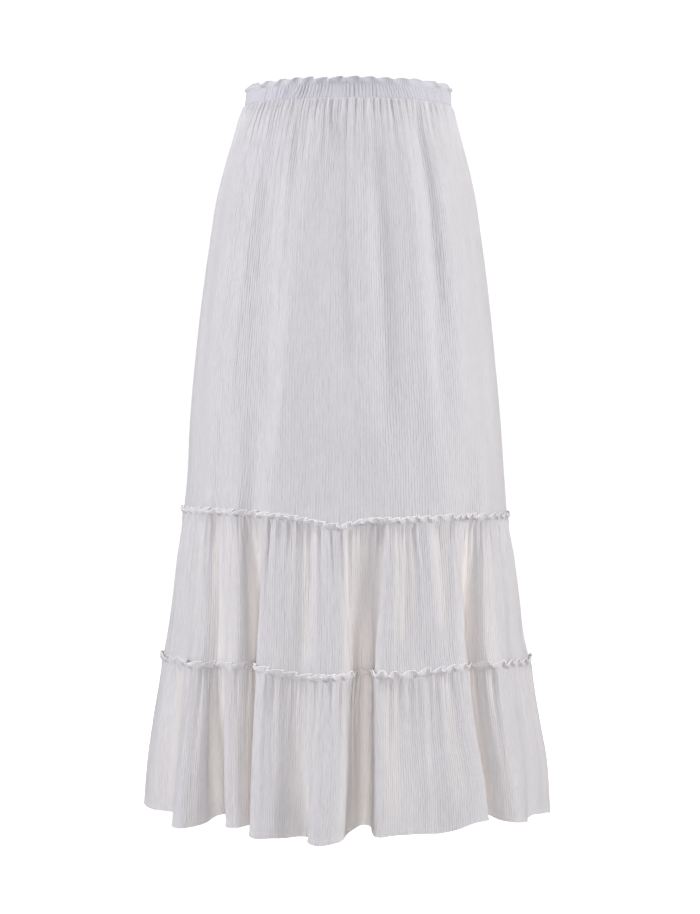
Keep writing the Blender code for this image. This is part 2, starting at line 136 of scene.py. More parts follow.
FRONT_FOLDS = rows_of(
    Fold,
    ((-90.0, -90.0, -90.0), (-63.0, -62.0, -61.0), (0.002, 0.008, 0.024), (0.5, 1.2), 0.000, (0.004, 0.006)),
    ((-56.0, -53.0, -52.5), (-49.0, -43.5, -42.0), (0.004, 0.016, 0.046), (0.7, 0.8), 0.003, (-0.001, 0.010)),
    ((-41.0, -37.0, -35.0), (-34.0, -31.5, -30.5), (0.006, 0.031, 0.046), (0.6, 1.4), -0.022, (0.002, 0.004)),
    ((-26.0, -24.3, -24.5), (-15.0, -14.0, -13.0), (0.002, 0.006, 0.022), (0.6, 1.3), 0.000, (-0.001, -0.001)),
    ((-5.0, -5.0, -7.0), (8.5, 6.5, 5.5), (0.005, 0.028, 0.054), (0.3, 1.4), 0.010, (-0.004, 0.006)),
    ((15.0, 12.0, 10.0), (25.0, 24.0, 24.0), (0.0015, 0.004, 0.009), (0.4, 0.4), 0.002, (0.003, 0.002)),
    ((38.0, 36.5, 38.5), (49.0, 44.5, 46.5), (0.006, 0.031, 0.044), (1.4, 0.6), 0.000, (0.012, 0.011)),
    ((58.0, 54.0, 54.0), (69.0, 68.0, 67.0), (0.001, 0.005, 0.012), (0.5, 0.5), 0.002, (0.003, 0.001)),
)
BACK_FOLDS = rows_of(
    Fold,
    ((90.0, 90.0, 90.0), (101.0, 102.0, 103.0), (0.004, 0.018, 0.034), (0.8, 1.2), 0.000, (-0.007, 0.003)),
    ((111.0, 112.0, 113.0), (121.0, 121.0, 122.0), (0.002, 0.008, 0.018), (0.6, 0.6), 0.002, (0.000, 0.004)),
    ((131.0, 130.0, 131.0), (141.0, 140.0, 139.0), (0.006, 0.029, 0.044), (1.3, 0.9), 0.003, (-0.002, 0.010)),
    ((150.0, 149.0, 148.0), (159.0, 160.0, 160.0), (0.002, 0.006, 0.015), (0.5, 0.6), 0.000, (0.003, 0.003)),
    ((169.0, 169.0, 168.0), (178.0, 177.0, 176.0), (0.005, 0.026, 0.042), (0.9, 1.3), 0.002, (0.000, 0.010)),
    ((187.0, 187.0, 186.0), (196.0, 197.0, 198.0), (0.003, 0.010, 0.024), (0.6, 1.0), 0.004, (-0.004, 0.003)),
    ((206.0, 207.0, 207.0), (215.0, 216.0, 217.0), (0.006, 0.030, 0.044), (1.3, 0.8), 0.000, (0.002, 0.009)),
    ((226.0, 226.0, 227.0), (236.0, 236.0, 235.0), (0.002, 0.008, 0.016), (0.5, 0.6), 0.002, (0.001, 0.002)),
    ((246.0, 245.0, 244.0), (257.0, 257.0, 258.0), (0.004, 0.018, 0.030), (0.8, 1.1), 0.000, (0.000, 0.004)),
)
FOLDS = FRONT_FOLDS + BACK_FOLDS


class SeamRise(NamedTuple):
    """How far the two tier seams stand above their level at one bearing."""

    bearing: float
    upper: float
    lower: float


SEAM_RISES = rows_of(
    SeamRise,
    (-90.0, 0.002, -0.002),
    (-68.0, 0.004, -0.0005),
    (-45.0, 0.005, 0.002),
    (-28.0, 0.004, 0.003),
    (-14.0, -0.001, -0.004),
    (-1.0, -0.0085, -0.004),
    (5.0, -0.0035, -0.002),
    (18.0, -0.002, -0.0025),
    (37.0, -0.0005, 0.002),
    (52.0, -0.001, 0.000),
    (90.0, -0.004, -0.0055),
    (130.0, 0.001, 0.002),
    (180.0, -0.002, 0.000),
    (225.0, 0.002, 0.002),
)


class Crease(NamedTuple):
    """A soft ridge, or a trough where its height is negative, that runs down the top tier."""

    top_bearing: float
    bottom_bearing: float
    top_z: float
    bottom_z: float
    half_width: float  # degrees
    height: float
    lean: float = 0.0  # share by which its side towards +X is the longer


CREASES = rows_of(
    Crease,
    (-74.0, -70.0, -0.020, -0.380, 5.0, -0.0022),
    (-58.0, -55.0, -0.015, -0.440, 6.0, 0.0036),
    (-34.5, -29.0, -0.090, -0.480, 8.0, -0.0064, -0.30),
    (-30.0, -26.0, -0.020, -0.110, 3.0, 0.0026),
    (-15.5, -26.0, -0.010, -0.480, 4.5, 0.0036),
    (-4.0, 3.0, -0.032, -0.330, 6.0, -0.0052),
    (7.0, 7.0, -0.110, -0.430, 4.0, 0.0028),
    (13.0, 18.0, -0.060, -0.480, 5.5, -0.0046),
    (27.0, 32.0, -0.010, -0.380, 4.5, 0.0028),
    (38.0, 39.0, -0.020, -0.250, 3.0, -0.0038),
    (47.0, 46.0, -0.060, -0.490, 6.0, 0.0040),
    (66.0, 63.0, -0.040, -0.460, 5.0, -0.0028),
    (99.0, 101.0, -0.030, -0.400, 6.0, -0.0028),
    (114.0, 112.0, -0.015, -0.330, 6.0, 0.0032),
    (127.0, 131.0, -0.060, -0.470, 6.0, -0.0038),
    (144.0, 146.0, -0.020, -0.300, 5.0, 0.0028),
    (158.0, 157.0, -0.120, -0.480, 7.0, -0.0034),
    (172.0, 170.0, -0.010, -0.400, 5.5, 0.0032),
    (186.0, 189.0, -0.020, -0.360, 6.0, -0.0042),
    (203.0, 205.0, -0.050, -0.470, 6.0, 0.0030),
    (219.0, 216.0, -0.015, -0.280, 5.0, -0.0030),
    (234.0, 235.0, -0.090, -0.480, 7.0, 0.0034),
    (252.0, 249.0, -0.030, -0.430, 6.0, -0.0032),
)
# Crisper edges that lie on the creases.
CREASE_EDGES = rows_of(
    Crease,
    (-45.0, -47.5, -0.150, -0.490, 3.0, 0.0011, -0.20),
    (-58.0, -60.0, -0.060, -0.300, 2.0, -0.0010, 0.40),
    (-24.0, -28.0, -0.050, -0.300, 2.2, 0.0009, -0.50),
    (26.0, 29.0, -0.030, -0.280, 2.2, 0.0010, 0.50),
    (34.0, 36.5, -0.080, -0.360, 2.2, -0.0007, 0.30),
    (52.0, 50.0, -0.120, -0.420, 2.6, 0.0012, 0.50),
    (122.0, 126.0, -0.040, -0.350, 2.4, 0.0013, 0.50),
    (150.0, 148.0, -0.090, -0.420, 2.4, -0.0011, -0.40),
    (196.0, 199.0, -0.030, -0.330, 2.2, 0.0012, -0.50),
    (242.0, 240.0, -0.110, -0.440, 2.6, -0.0011, 0.40),
)


class TierCrease(NamedTuple):
    """A soft ridge or trough on a lower tier. along counts folds from the left side seam, at the top and at the foot,
    and stages run 0 to 2, from the upper seam to the hem."""

    along_top: float
    along_foot: float
    top: float
    foot: float
    half_width: float  # metres of cloth
    height: float


TIER_CREASES = rows_of(
    TierCrease,
    (0.30, 0.28, 0.05, 1.00, 0.012, 0.0016),
    (0.80, 0.78, 0.00, 0.90, 0.010, -0.0019),
    (3.14, 3.12, 0.02, 0.80, 0.010, 0.0017),
    (3.58, 3.55, 0.00, 1.00, 0.010, -0.0022),
    (4.05, 3.98, 0.00, 1.00, 0.013, 0.0030),
    (4.26, 4.22, 0.00, 0.90, 0.008, -0.0034),
    (1.36, 1.40, 0.00, 1.00, 0.009, -0.0038),
    (5.28, 5.26, 0.00, 0.80, 0.009, -0.0030),
    (5.55, 5.50, 0.05, 0.95, 0.012, 0.0019),
    (5.85, 5.85, 0.00, 0.80, 0.009, -0.0019),
    (7.30, 7.30, 0.00, 0.90, 0.012, 0.0017),
    (0.22, 0.25, 1.00, 2.00, 0.014, 0.0022),
    (1.34, 1.36, 1.00, 1.95, 0.012, -0.0020),
    (3.38, 3.42, 1.00, 1.90, 0.012, -0.0023),
    (4.00, 4.10, 1.00, 2.00, 0.014, 0.0023),
    (5.42, 5.44, 1.00, 2.00, 0.012, 0.0022),
    (5.12, 5.14, 1.00, 1.90, 0.012, -0.0022),
    (5.78, 5.80, 1.00, 1.90, 0.010, -0.0019),
    (5.98, 6.00, 1.05, 2.00, 0.012, 0.0020),
    (7.20, 7.25, 1.00, 2.00, 0.014, 0.0019),
    (9.10, 9.15, 0.00, 1.00, 0.012, 0.0028),
    (11.00, 11.10, 0.00, 0.90, 0.012, 0.0026),
    (12.90, 13.00, 0.00, 1.00, 0.012, -0.0026),
    (15.00, 14.95, 0.00, 0.90, 0.012, 0.0026),
    (9.20, 9.15, 1.00, 2.00, 0.014, -0.0028),
    (11.90, 12.00, 1.00, 2.00, 0.014, 0.0030),
    (13.80, 13.90, 1.00, 1.90, 0.012, 0.0028),
    (15.60, 15.70, 1.00, 2.00, 0.014, -0.0026),
)


class Gather(NamedTuple):
    """One size of the uneven gathers that hang from a seam and fade below it."""

    pitch: float  # metres of cloth from one to the next
    height: float
    grows: float  # metres below the seam where it has its height
    fades: float  # metres below the seam that it lasts
    length: float  # metres down the cloth before a gather wanders


WAIST_GATHERS = rows_of(
    Gather,
    (0.0064, 0.0010, 0.001, 0.026, 0.070),
    (0.0125, 0.0014, 0.001, 0.055, 0.160),
    (0.0340, 0.0007, 0.012, 0.130, 0.400),
    (0.0440, 0.0005, 0.060, 2.000, 0.600),
)
SEAM_GATHERS = rows_of(
    Gather,
    (0.0075, 0.0012, 0.001, 0.022, 0.045),
    (0.0150, 0.0020, 0.001, 0.055, 0.140),
    (0.0380, 0.0018, 0.012, 0.180, 0.300),
    (0.0520, 0.0013, 0.030, 2.000, 0.400),
)

# Width and length that half of each piece is cut to.
CUTS = {
    "top_tier": (0.56, 0.478),
    "middle_tier": (0.80, 0.166),
    "bottom_tier": (1.04, 0.186),
    "casing": (0.45, 0.016),
}
FRILL_FULLNESS = 1.24
HALF_WAIST = 0.34  # metres round half of the casing

# How round the gathers' ridges are under the casing and under a tier's seam, where 1 is even.
WAIST_PLUMP = 1.5
SEAM_PLUMP = 0.8
GATHER_WANDER = 0.45

# The painted light in the hollows between a lower tier's gathers, and its sewn edge, which stands off the tier above.
HOLLOW_PAINTED_LIGHT = 0.40
HOLLOW_DEPTH = 0.0022
LIP_FADES = 0.006

# Stages over which a lower tier's crease grows round its top, and fades before and after its foot.
TIER_CREASE_GROWS = 0.12
TIER_CREASE_FADES = (0.25, 0.10)

# The step of the turned hem, what its stitches pull in and pucker, and how its edge flutters up and down.
HEM_STEP = 0.0003
HEM_STEP_OVER = 0.0004
STITCH_PULL = 0.0002
STITCH_REACH = 0.0012
PUCKER_HEIGHT = 0.00035
FLUTTER_HEIGHT = 0.0012
FLUTTER_FADES = 0.025

# The frills: where they stand against the piece behind them, and how their edges roll over.
WAIST_FRILL_SINK = 0.0004
SEAM_FRILL_TUCK = 0.0003
FRILL_LEAN = 0.0004
EDGE_ROLL = 0.0008
EDGE_ROLLS_FROM = 0.70
WAIST_SIDE_LOWER = 0.55  # share by which the waist frill is lower at the sides
WAIST_SIDE_FLATTER = 0.5
WAIST_SIDE_DEGREES = 16.0

# Numbers that keep the uses of chance on one piece apart.
CRINKLE_SEED = 50
PUCKER_SEED = 70
FLUTTER_SEED = 80

# Thread.
OVERLOCK_RADIUS = 0.00052
HEM_STITCH = 0.0034
CASING_STITCH = 0.0025
CASING_STITCH_ROWS = {"lower": 0.10, "upper": 0.90}  # shares of the casing's height
CASING_STITCH_PULL = 0.0003
STITCH_LIFT = 0.0001
STITCH_HALF_LENGTH = 0.40  # share of the stitches' pitch
STITCH_HALF_WIDTH = 0.00028
STITCH_HALF_HEIGHT = 0.00024

# Steps of the grids, and how the top tier's rows crowd towards the casing, where 1 spaces them evenly.
TOP_TIER_GRID = (470, 92)
TOP_ROWS_CROWD = 1.12
STEPS_TO_A_RIB = 9
CASING_ROWS = 12
STEPS_TO_A_WAVE = 16
FRILL_ROWS = 8
STEPS_TO_A_FOLD = 200
WAIST_LINE_POINTS = 600
SEAM_LINE_STEPS = 1500

CAMERA_AWAY = 2.48
CAMERA_HEIGHT = -0.316
CAMERA_TILT = math.atan(87.0 / 2100.0)
CAMERA_TURN = math.atan(2.0 / 2100.0)


# The skirt's surface


def blend(low, high, value):
    """0 below low, 1 above high, and a smooth step between."""
    share = np.clip((value - low) / (high - low), 0.0, 1.0)
    return share * share * (3.0 - 2.0 * share)


def curve_through(knots, values, at):
    """A smooth curve through values at rising knots, read at each of at."""
    knots, values = np.asarray(knots, float), np.asarray(values, float)
    slopes = np.gradient(values, knots)
    cell = np.clip(np.searchsorted(knots, at) - 1, 0, len(knots) - 2)
    step = knots[cell + 1] - knots[cell]
    share = np.clip((at - knots[cell]) / step, 0.0, 1.0)
    start = (1.0 + 2.0 * share) * (1.0 - share) ** 2
    leave = share * (1.0 - share) ** 2 * step
    arrive = -(share**2) * (1.0 - share) * step
    return values[cell] * start + slopes[cell] * leave + values[cell + 1] * (1.0 - start) + slopes[cell + 1] * arrive


def section(column, z):
    """One column of the outline at height z."""
    rows = SECTIONS[::-1]
    return curve_through([row.z for row in rows], [getattr(row, column) for row in rows], z)


def outline(bearing, z):
    """The point on the outline at a bearing and height, and its outward direction, as x and y."""
    angle = np.radians(bearing)
    side, ahead = np.sin(angle), -np.cos(angle)
    width = section("half_width", z)
    depth = np.where(ahead < 0.0, section("front", z), section("back", z))
    out_x, out_y = side / width, ahead / depth
    size = np.hypot(out_x, out_y)
    return section("shift", z) + width * side, depth * ahead, out_x / size, out_y / size


def seam_rise(column, bearing):
    """The rise of a tier seam at a bearing, closed round the skirt."""
    start = SEAM_RISES[0]
    knots = [row.bearing for row in SEAM_RISES] + [start.bearing + 360.0]
    values = [getattr(row, column) for row in SEAM_RISES] + [getattr(start, column)]
    return curve_through(knots, values, (np.asarray(bearing) + 90.0) % 360.0 - 90.0)


def at_stage(triples, stage):
    """A smooth curve through values at the upper seam (0), the lower seam (1) and the hem (2)."""
    first, second, third = np.moveaxis(np.asarray(triples, float), -1, 0)
    return (
        first * (1.0 - stage) * (2.0 - stage) / 2.0
        + second * stage * (2.0 - stage)
        + third * stage * (stage - 1.0) / 2.0
    )


def fold_column(field, index):
    """The values of one field of FOLDS at each index, which may run past either end of the table."""
    return np.asarray([getattr(fold, field) for fold in FOLDS], float)[index % len(FOLDS)]


def fold_bearing(field, index, stage):
    """The bearing of a ridge or valley at a stage, wrapped on past either end of the table."""
    return at_stage(fold_column(field, index), stage) + 360.0 * (index // len(FOLDS))


def folded_point(along, stage):
    """The lower tiers' surface. along counts folds from the left side seam, and stage runs 0 to 2, seam to hem.
    Returns x, y and z, and how much painted light the point takes deep in a fold, 0 to 1."""
    along, stage = np.broadcast_arrays(np.asarray(along, float), np.asarray(stage, float))
    index = np.floor(along).astype(int)
    share = along - index
    ridge = fold_bearing("ridge", index, stage)
    next_ridge = fold_bearing("ridge", index + 1, stage)
    valley = fold_bearing("valley", index, stage)
    depth = at_stage(fold_column("depth", index), stage)
    rolls = fold_column("roll", index)
    roll = np.where(share < 0.5, rolls[..., 0], rolls[..., 1])
    grown = blend(ROLL_STARTS_AT, ROLL_FULL_AT, depth)
    across = share + grown * (
        roll * np.sin(4.0 * math.pi * share) / (4.0 * math.pi)
        + FOLD_PINCH * np.sin(2.0 * math.pi * share) / (2.0 * math.pi)
    )
    bearing = np.where(
        share < 0.5,
        ridge + 2.0 * across * (valley - ridge),
        valley + (2.0 * across - 1.0) * (next_ridge - valley),
    )
    dip = (1.0 - np.cos(2.0 * math.pi * share)) / 2.0
    crest = fold_column("crest", index) * (1.0 - share) + fold_column("crest", index + 1) * share
    lift = fold_column("lift", index)
    next_lift = fold_column("lift", index + 1)
    ridge_lift = lift[..., 0] * (1.0 - share) + next_lift[..., 0] * share
    hem_lift = ridge_lift * (1.0 - dip) + lift[..., 1] * dip
    at_hem = (stage / 2.0) ** 2
    upper = UPPER_SEAM + seam_rise("upper", bearing)
    lower = LOWER_SEAM + seam_rise("lower", bearing)
    hem = HEM + hem_lift
    z = np.where(stage <= 1.0, upper + (lower - upper) * stage, lower + (hem - lower) * (stage - 1.0))
    x, y, out_x, out_y = outline(bearing, z)
    out = crest * (1.0 - dip) * at_hem - depth * dip
    # Painted light: a mask that brightens and warms the cloth deep in the folds, least in the folds that stay shallow.
    grows_deep = np.clip((fold_column("depth", index)[..., 1] - DEEP_STARTS_AT) / DEEP_OVER, 0.0, 1.0)
    deep = SHALLOW_FOLD_PAINTED_LIGHT + (1.0 - SHALLOW_FOLD_PAINTED_LIGHT) * grows_deep
    deep = deep * dip**0.9 * np.clip((depth - 0.002 - 0.003 * stage) / PAINTED_LIGHT_OVER, 0.0, 1.0)
    return x + out_x * out, y + out_y * out, z, deep


def seam_dip(bearing):
    """How far the upper seam lies inside the outline at a bearing, the same ring as folded_point at stage 0."""
    knots, shares = [], []
    for number in range(len(FOLDS) + 1):
        fold = FOLDS[number % len(FOLDS)]
        turn = 360.0 * (number // len(FOLDS))
        knots += [fold.ridge[0] + turn, fold.valley[0] + turn]
        shares += [float(number), number + 0.5]
    along = np.interp((np.asarray(bearing) + 90.0) % 360.0 - 90.0, knots, shares)
    index = np.floor(along).astype(int)
    depth = fold_column("depth", index)[..., 0]
    return depth * (1.0 - np.cos(2.0 * math.pi * (along - index))) / 2.0


def creases(bearing, z):
    """How far the top tier's creases move its surface out."""
    moved = np.zeros(np.broadcast(bearing, z).shape)
    for crease in CREASES + CREASE_EDGES:
        down = np.clip((crease.top_z - z) / (crease.top_z - crease.bottom_z), 0.0, 1.0)
        middle = crease.top_bearing + (crease.bottom_bearing - crease.top_bearing) * down
        away = (bearing - middle + 180.0) % 360.0 - 180.0
        inside = blend(crease.bottom_z - CREASE_FADE, crease.bottom_z + CREASE_FADE, z)
        inside = inside * (1.0 - blend(crease.top_z - CREASE_FADE / 2.0, crease.top_z + CREASE_FADE / 4.0, z))
        half_width = crease.half_width * (1.0 + crease.lean * np.sign(away))
        moved = moved + crease.height * inside * np.exp(-((away / half_width) ** 2))
    return moved


def ripple(seed, across, down, pitch, length, in_turn=False):
    """Smooth uneven waves from -1 to 1, about pitch apart across the cloth and length long down it. in_turn makes
    every second one a trough."""
    column = np.asarray(across) / pitch
    row = np.asarray(down) / length
    column, row = np.broadcast_arrays(column - column.min(), row - row.min())
    heights = np.random.default_rng(seed).uniform(-1.0, 1.0, (int(row.max()) + 2, int(column.max()) + 2))
    if in_turn:
        heights = (0.65 + 0.35 * heights) * (-1.0) ** np.arange(heights.shape[1])
    low_row, low_column = row.astype(int), column.astype(int)
    up, right = blend(0.0, 1.0, row - low_row), blend(0.0, 1.0, column - low_column)
    near = heights[low_row, low_column] * (1.0 - right) + heights[low_row, low_column + 1] * right
    far = heights[low_row + 1, low_column] * (1.0 - right) + heights[low_row + 1, low_column + 1] * right
    return near * (1.0 - up) + far * up


def gathers(seed, table, cloth_u, below, plump):
    """The gathers that hang from a seam: fine ones that end soon, and broader ones that they run into. plump above 1
    makes the ridges round and the grooves narrow, and below 1 the other way about."""
    total = np.zeros(np.broadcast(cloth_u, below).shape)
    for number, gather in enumerate(table):
        own = seed + 10 * number
        wander = ripple(own, cloth_u, below, gather.pitch * 2.2, gather.length * 1.5)
        wander = GATHER_WANDER * gather.pitch * wander
        waves = ripple(own + 1, cloth_u + wander, below, gather.pitch / 2.0, gather.length, in_turn=True)
        waves = 1.0 - 2.0 * ((1.0 - waves) / 2.0) ** plump
        reach = 1.0 + 0.7 * ripple(own + 2, cloth_u, below * 0.0, gather.pitch * 1.3, 1.0)
        fade = blend(0.0, gather.grows, below) * np.exp(-below / (gather.fades * reach))
        total = total + gather.height * waves * fade
    return total


def crinkles(seed, cloth_u, below, depth):
    """The cloth's own standing crinkles: long straight ridges with narrow troughs."""
    waver = 0.0010 * ripple(seed, cloth_u, below, 0.020, 0.030)
    fine = ripple(seed + 1, cloth_u + waver, below, 0.0032, 0.045)
    broad = ripple(seed + 2, cloth_u + 2.0 * waver, below, 0.0065, 0.160, in_turn=True)
    return depth * (0.7 * fine + 0.3 * broad)


def side_fade(share, width):
    """0 at a half's two side seams and 1 a little way in from them."""
    return blend(0.0, width, share) * blend(0.0, width, 1.0 - share)


def freed(above):
    """How much of its relief a tier keeps just above the seam at its foot, which holds it flatter."""
    return 0.35 + 0.65 * blend(0.0, 0.012, above)


# Making cloth


def outward(points):
    """The unit outward directions of a grid of points, rows up and columns along."""
    along, up = np.gradient(points, axis=1), np.gradient(points, axis=0)
    normal = np.cross(along, up)
    return normal / np.linalg.norm(normal, axis=-1, keepdims=True)


def add_object(name, data, *materials):
    """An object for a mesh, curve, light or camera, linked to the scene. A mesh takes the materials given."""
    for material in materials:
        data.materials.append(material)
    made = bpy.data.objects.new(name, data)
    bpy.context.scene.collection.objects.link(made)
    return made


def grid_shares(columns, rows):
    """Shares of the way along and up a grid, as a row and a column."""
    return np.linspace(0.0, 1.0, columns + 1)[None, :], np.linspace(0.0, 1.0, rows + 1)[:, None]


def lay_cloth(name, points, cloth_u, cloth_v, wall, material, fold=None):
    """A sheet over a grid of points, rows up and columns along, with its cut laid out as a UV map in metres."""
    rows, columns = points.shape[0] - 1, points.shape[1] - 1
    grid = bmesh.new()
    grid.loops.layers.uv.new("cut")
    bmesh.ops.create_grid(grid, x_segments=columns, y_segments=rows, size=0.5, calc_uvs=True)
    for face in grid.faces:
        face.smooth = True
    for edge in grid.edges:
        edge.smooth = not edge.is_boundary
    mesh = bpy.data.meshes.new(name)
    grid.to_mesh(mesh)
    grid.free()
    flat = np.zeros(len(mesh.vertices) * 3, np.float32)
    mesh.vertices.foreach_get("co", flat)
    flat = flat.reshape(-1, 3)
    column = np.rint((flat[:, 0] + 0.5) * columns).astype(int)
    row = np.rint((flat[:, 1] + 0.5) * rows).astype(int)
    mesh.vertices.foreach_set("co", points[row, column].astype(np.float32).ravel())
    corner = np.zeros(len(mesh.loops), np.int32)
    mesh.loops.foreach_get("vertex_index", corner)
    places = np.stack([cloth_u[row, column][corner], cloth_v[row, column][corner]], axis=-1)
    mesh.uv_layers["cut"].data.foreach_set("uv", places.astype(np.float32).ravel())
    # The mask of the light and shade painted in the piece's hollows.
    if fold is not None:
        depth = mesh.attributes.new("fold_depth", "FLOAT", "POINT")
        depth.data.foreach_set("value", fold[row, column].astype(np.float32))
    mesh.update()
    piece = add_object(name, mesh, material)
    solid = piece.modifiers.new("wall", "SOLIDIFY")
    solid.thickness = wall
    solid.offset = -1.0
    solid.use_rim = True
    return piece


def even_along(half, columns, stage):
    """Positions along a half's folds that step evenly along the cloth at one stage."""
    finest = np.linspace(0.0, 1.0, 1 + half.count * STEPS_TO_A_FOLD)
    x, y = folded_point(half.first + half.count * finest, stage)[:2]
    run = np.concatenate(([0.0], np.cumsum(np.hypot(np.diff(x), np.diff(y)))))
    return half.first + half.count * np.interp(np.linspace(0.0, run[-1], columns + 1), run, finest)


def run_along(path):
    """How far along a path each of its points lies."""
    return np.concatenate(([0.0], np.cumsum(np.linalg.norm(np.diff(path, axis=0), axis=1))))


def read_along(at, run, values):
    """The points or directions of a path, read as far along it as at."""
    return np.stack([np.interp(at, run, values[:, axis]) for axis in range(3)], axis=-1)


def tube(name, path, radius, material):
    """An edging that follows a path."""
    line = bpy.data.curves.new(name, "CURVE")
    line.dimensions = "3D"
    line.bevel_depth = radius
    line.bevel_resolution = 1
    line.use_fill_caps = True
    spline = line.splines.new("POLY")
    spline.points.add(len(path) - 1)
    spline.points.foreach_set("co", np.column_stack([path, np.ones(len(path))]).astype(np.float32).ravel())
    holder = add_object(name + "_line", line)
    bpy.context.view_layer.update()
    mesh = bpy.data.meshes.new_from_object(holder.evaluated_get(bpy.context.evaluated_depsgraph_get()))
    bpy.data.objects.remove(holder)
    ends = bmesh.new()
    ends.from_mesh(mesh)
    bmesh.ops.remove_doubles(ends, verts=ends.verts, dist=1e-6)
    bmesh.ops.recalc_face_normals(ends, faces=ends.faces)
    ends.to_mesh(mesh)
    ends.free()
    mesh.name = name
    mesh.materials.clear()
    mesh.shade_smooth()
    return add_object(name, mesh, material)


def sewing(name, path, out, pitch, material):
    """A row of stitches along a path, each a small drawn-out bead of thread lying on the cloth."""
    path = path + out * STITCH_LIFT
    run = run_along(path)
    count = int(run[-1] / pitch)
    middles = (np.arange(count) + 0.5) * run[-1] / count
    half_length = pitch * STITCH_HALF_LENGTH
    beads = bmesh.new()
    for middle in middles:
        back, ahead = (Vector(read_along(middle + step, run, path)) for step in (-half_length, half_length))
        away = Vector(read_along(middle, run, out)).normalized()
        forward = (ahead - back).normalized()
        beside = away.cross(forward).normalized()
        turn = Matrix((forward, beside, away)).transposed().to_4x4()
        size = Matrix.Diagonal((half_length, STITCH_HALF_WIDTH, STITCH_HALF_HEIGHT, 1.0))
        place = Matrix.Translation((back + ahead) / 2.0) @ turn @ size
        bmesh.ops.create_icosphere(beads, subdivisions=1, radius=1.0, matrix=place)
    mesh = bpy.data.meshes.new(name)
    beads.to_mesh(mesh)
    beads.free()
    mesh.shade_smooth()
    return add_object(name, mesh, material)


# Materials


def set_inputs(node, values):
    """Gives a node's inputs, by their names or numbers, the values given, or links them to the sockets given."""
    for key, value in values.items():
        if isinstance(value, bpy.types.NodeSocket):
            node.id_data.links.new(value, node.inputs[key])
        else:
            node.inputs[key].default_value = value


def add_node(tree, kind, place, values=None, **settings):
    """A node with its settings, placed in the editor. Its inputs take the values or sockets given."""
    made = tree.nodes.new(kind)
    made.location = place
    for key, value in settings.items():
        setattr(made, key, value)
    set_inputs(made, values or {})
    return made


def math_node(tree, place, operation, *values):
    """The result of a Math node whose inputs take the sockets or numbers given."""
    return add_node(tree, "ShaderNodeMath", place, dict(enumerate(values)), operation=operation).outputs[0]


def flat_noise(tree, place, vector, detail=2.0):
    """Noise over a plane, with its cells one unit apart."""
    values = {"Vector": vector, "Scale": 1.0, "Detail": detail}
    return add_node(tree, "ShaderNodeTexNoise", place, values, noise_dimensions="2D").outputs["Fac"]


def cut_noise(tree, place, cut, across, down, detail=2.0):
    """Noise over the cut cloth, with its cells to the metre across and down."""
    scaled = add_node(tree, "ShaderNodeMapping", place, {"Vector": cut, "Scale": (across, down, 1.0)})
    return flat_noise(tree, (place[0] + 180, place[1]), scaled.outputs["Vector"], detail)


def map_range(tree, place, value, low, high, to_low, to_high):
    """Turns values from low to high into values from to_low to to_high."""
    values = {"Value": value, "From Min": low, "From Max": high, "To Min": to_low, "To Max": to_high}
    return add_node(tree, "ShaderNodeMapRange", place, values).outputs["Result"]


def crinkle_group():
    """The crinkle weave: close standing ridges that waver and break, the yarn on them, and a mask of the troughs for
    painted shade.
    """
    group = bpy.data.node_groups.new("crinkle_weave", "ShaderNodeTree")
    group.interface.new_socket("Cut", in_out="INPUT", socket_type="NodeSocketVector")
    for name, default in (("Ridges per metre", 300.0), ("Waver", 0.9), ("Jitter", 0.55)):
        group.interface.new_socket(name, in_out="INPUT", socket_type="NodeSocketFloat").default_value = default
    for name in ("Height", "Troughs", "Streaks"):
        group.interface.new_socket(name, in_out="OUTPUT", socket_type="NodeSocketFloat")
    enter = add_node(group, "NodeGroupInput", (-1500, 0))
    cut = enter.outputs["Cut"]
    parts = add_node(group, "ShaderNodeSeparateXYZ", (-1200, 100), {0: cut})

    # The ridges waver over centimetres, and break over millimetres.
    across = math_node(group, (-640, 60), "MULTIPLY", parts.outputs["X"], enter.outputs["Ridges per metre"])
    for level, cells, strength in ((-200, (40.0, 10.0), "Waver"), (-480, (150.0, 90.0), "Jitter")):
        shift = cut_noise(group, (-1200, level), cut, *cells, detail=1.0)
        shift = math_node(group, (-800, level), "SUBTRACT", shift, 0.5)
        shift = math_node(group, (-640, level), "MULTIPLY", shift, enter.outputs[strength])
        across = math_node(group, (-400, level), "ADD", across, shift)
    even = math_node(group, (-160, 60), "MULTIPLY", across, 2.0 * math.pi)
    even = math_node(group, (0, 60), "SINE", even)
    even = math_node(group, (160, 60), "MULTIPLY_ADD", even, 0.5, 0.5)

    # No two ridges are alike, and each changes as it runs down the cloth.
    beside = math_node(group, (-320, 200), "MULTIPLY", across, 1.25)
    down = math_node(group, (-320, 400), "MULTIPLY", parts.outputs["Y"], 62.0)
    stretched = add_node(group, "ShaderNodeCombineXYZ", (-160, 300), {0: beside, 1: down})
    uneven = flat_noise(group, (0, 300), stretched.outputs[0])
    uneven = map_range(group, (180, 300), uneven, 0.30, 0.70, -0.1, 1.1)
    even = math_node(group, (340, 60), "MULTIPLY", even, 0.6)
    ridge = math_node(group, (500, 160), "MULTIPLY_ADD", uneven, 0.4, even)

    yarn = cut_noise(group, (-1200, -1040), cut, 900.0, 520.0)
    height = math_node(group, (700, 0), "MULTIPLY_ADD", yarn, 0.40, ridge)
    trough = math_node(group, (660, 240), "SUBTRACT", 1.0, ridge)
    trough = math_node(group, (820, 240), "POWER", trough, 1.6)
    streaks = cut_noise(group, (-1200, -1320), cut, 60.0, 3.0)
    add_node(group, "NodeGroupOutput", (1100, 0), {"Height": height, "Troughs": trough, "Streaks": streaks})
    return group


def colour_socket(sockets, name):
    """The colour socket of a Mix node, which shares its name with the number and vector ones."""
    return next(socket for socket in sockets if socket.identifier == f"{name}_Color")


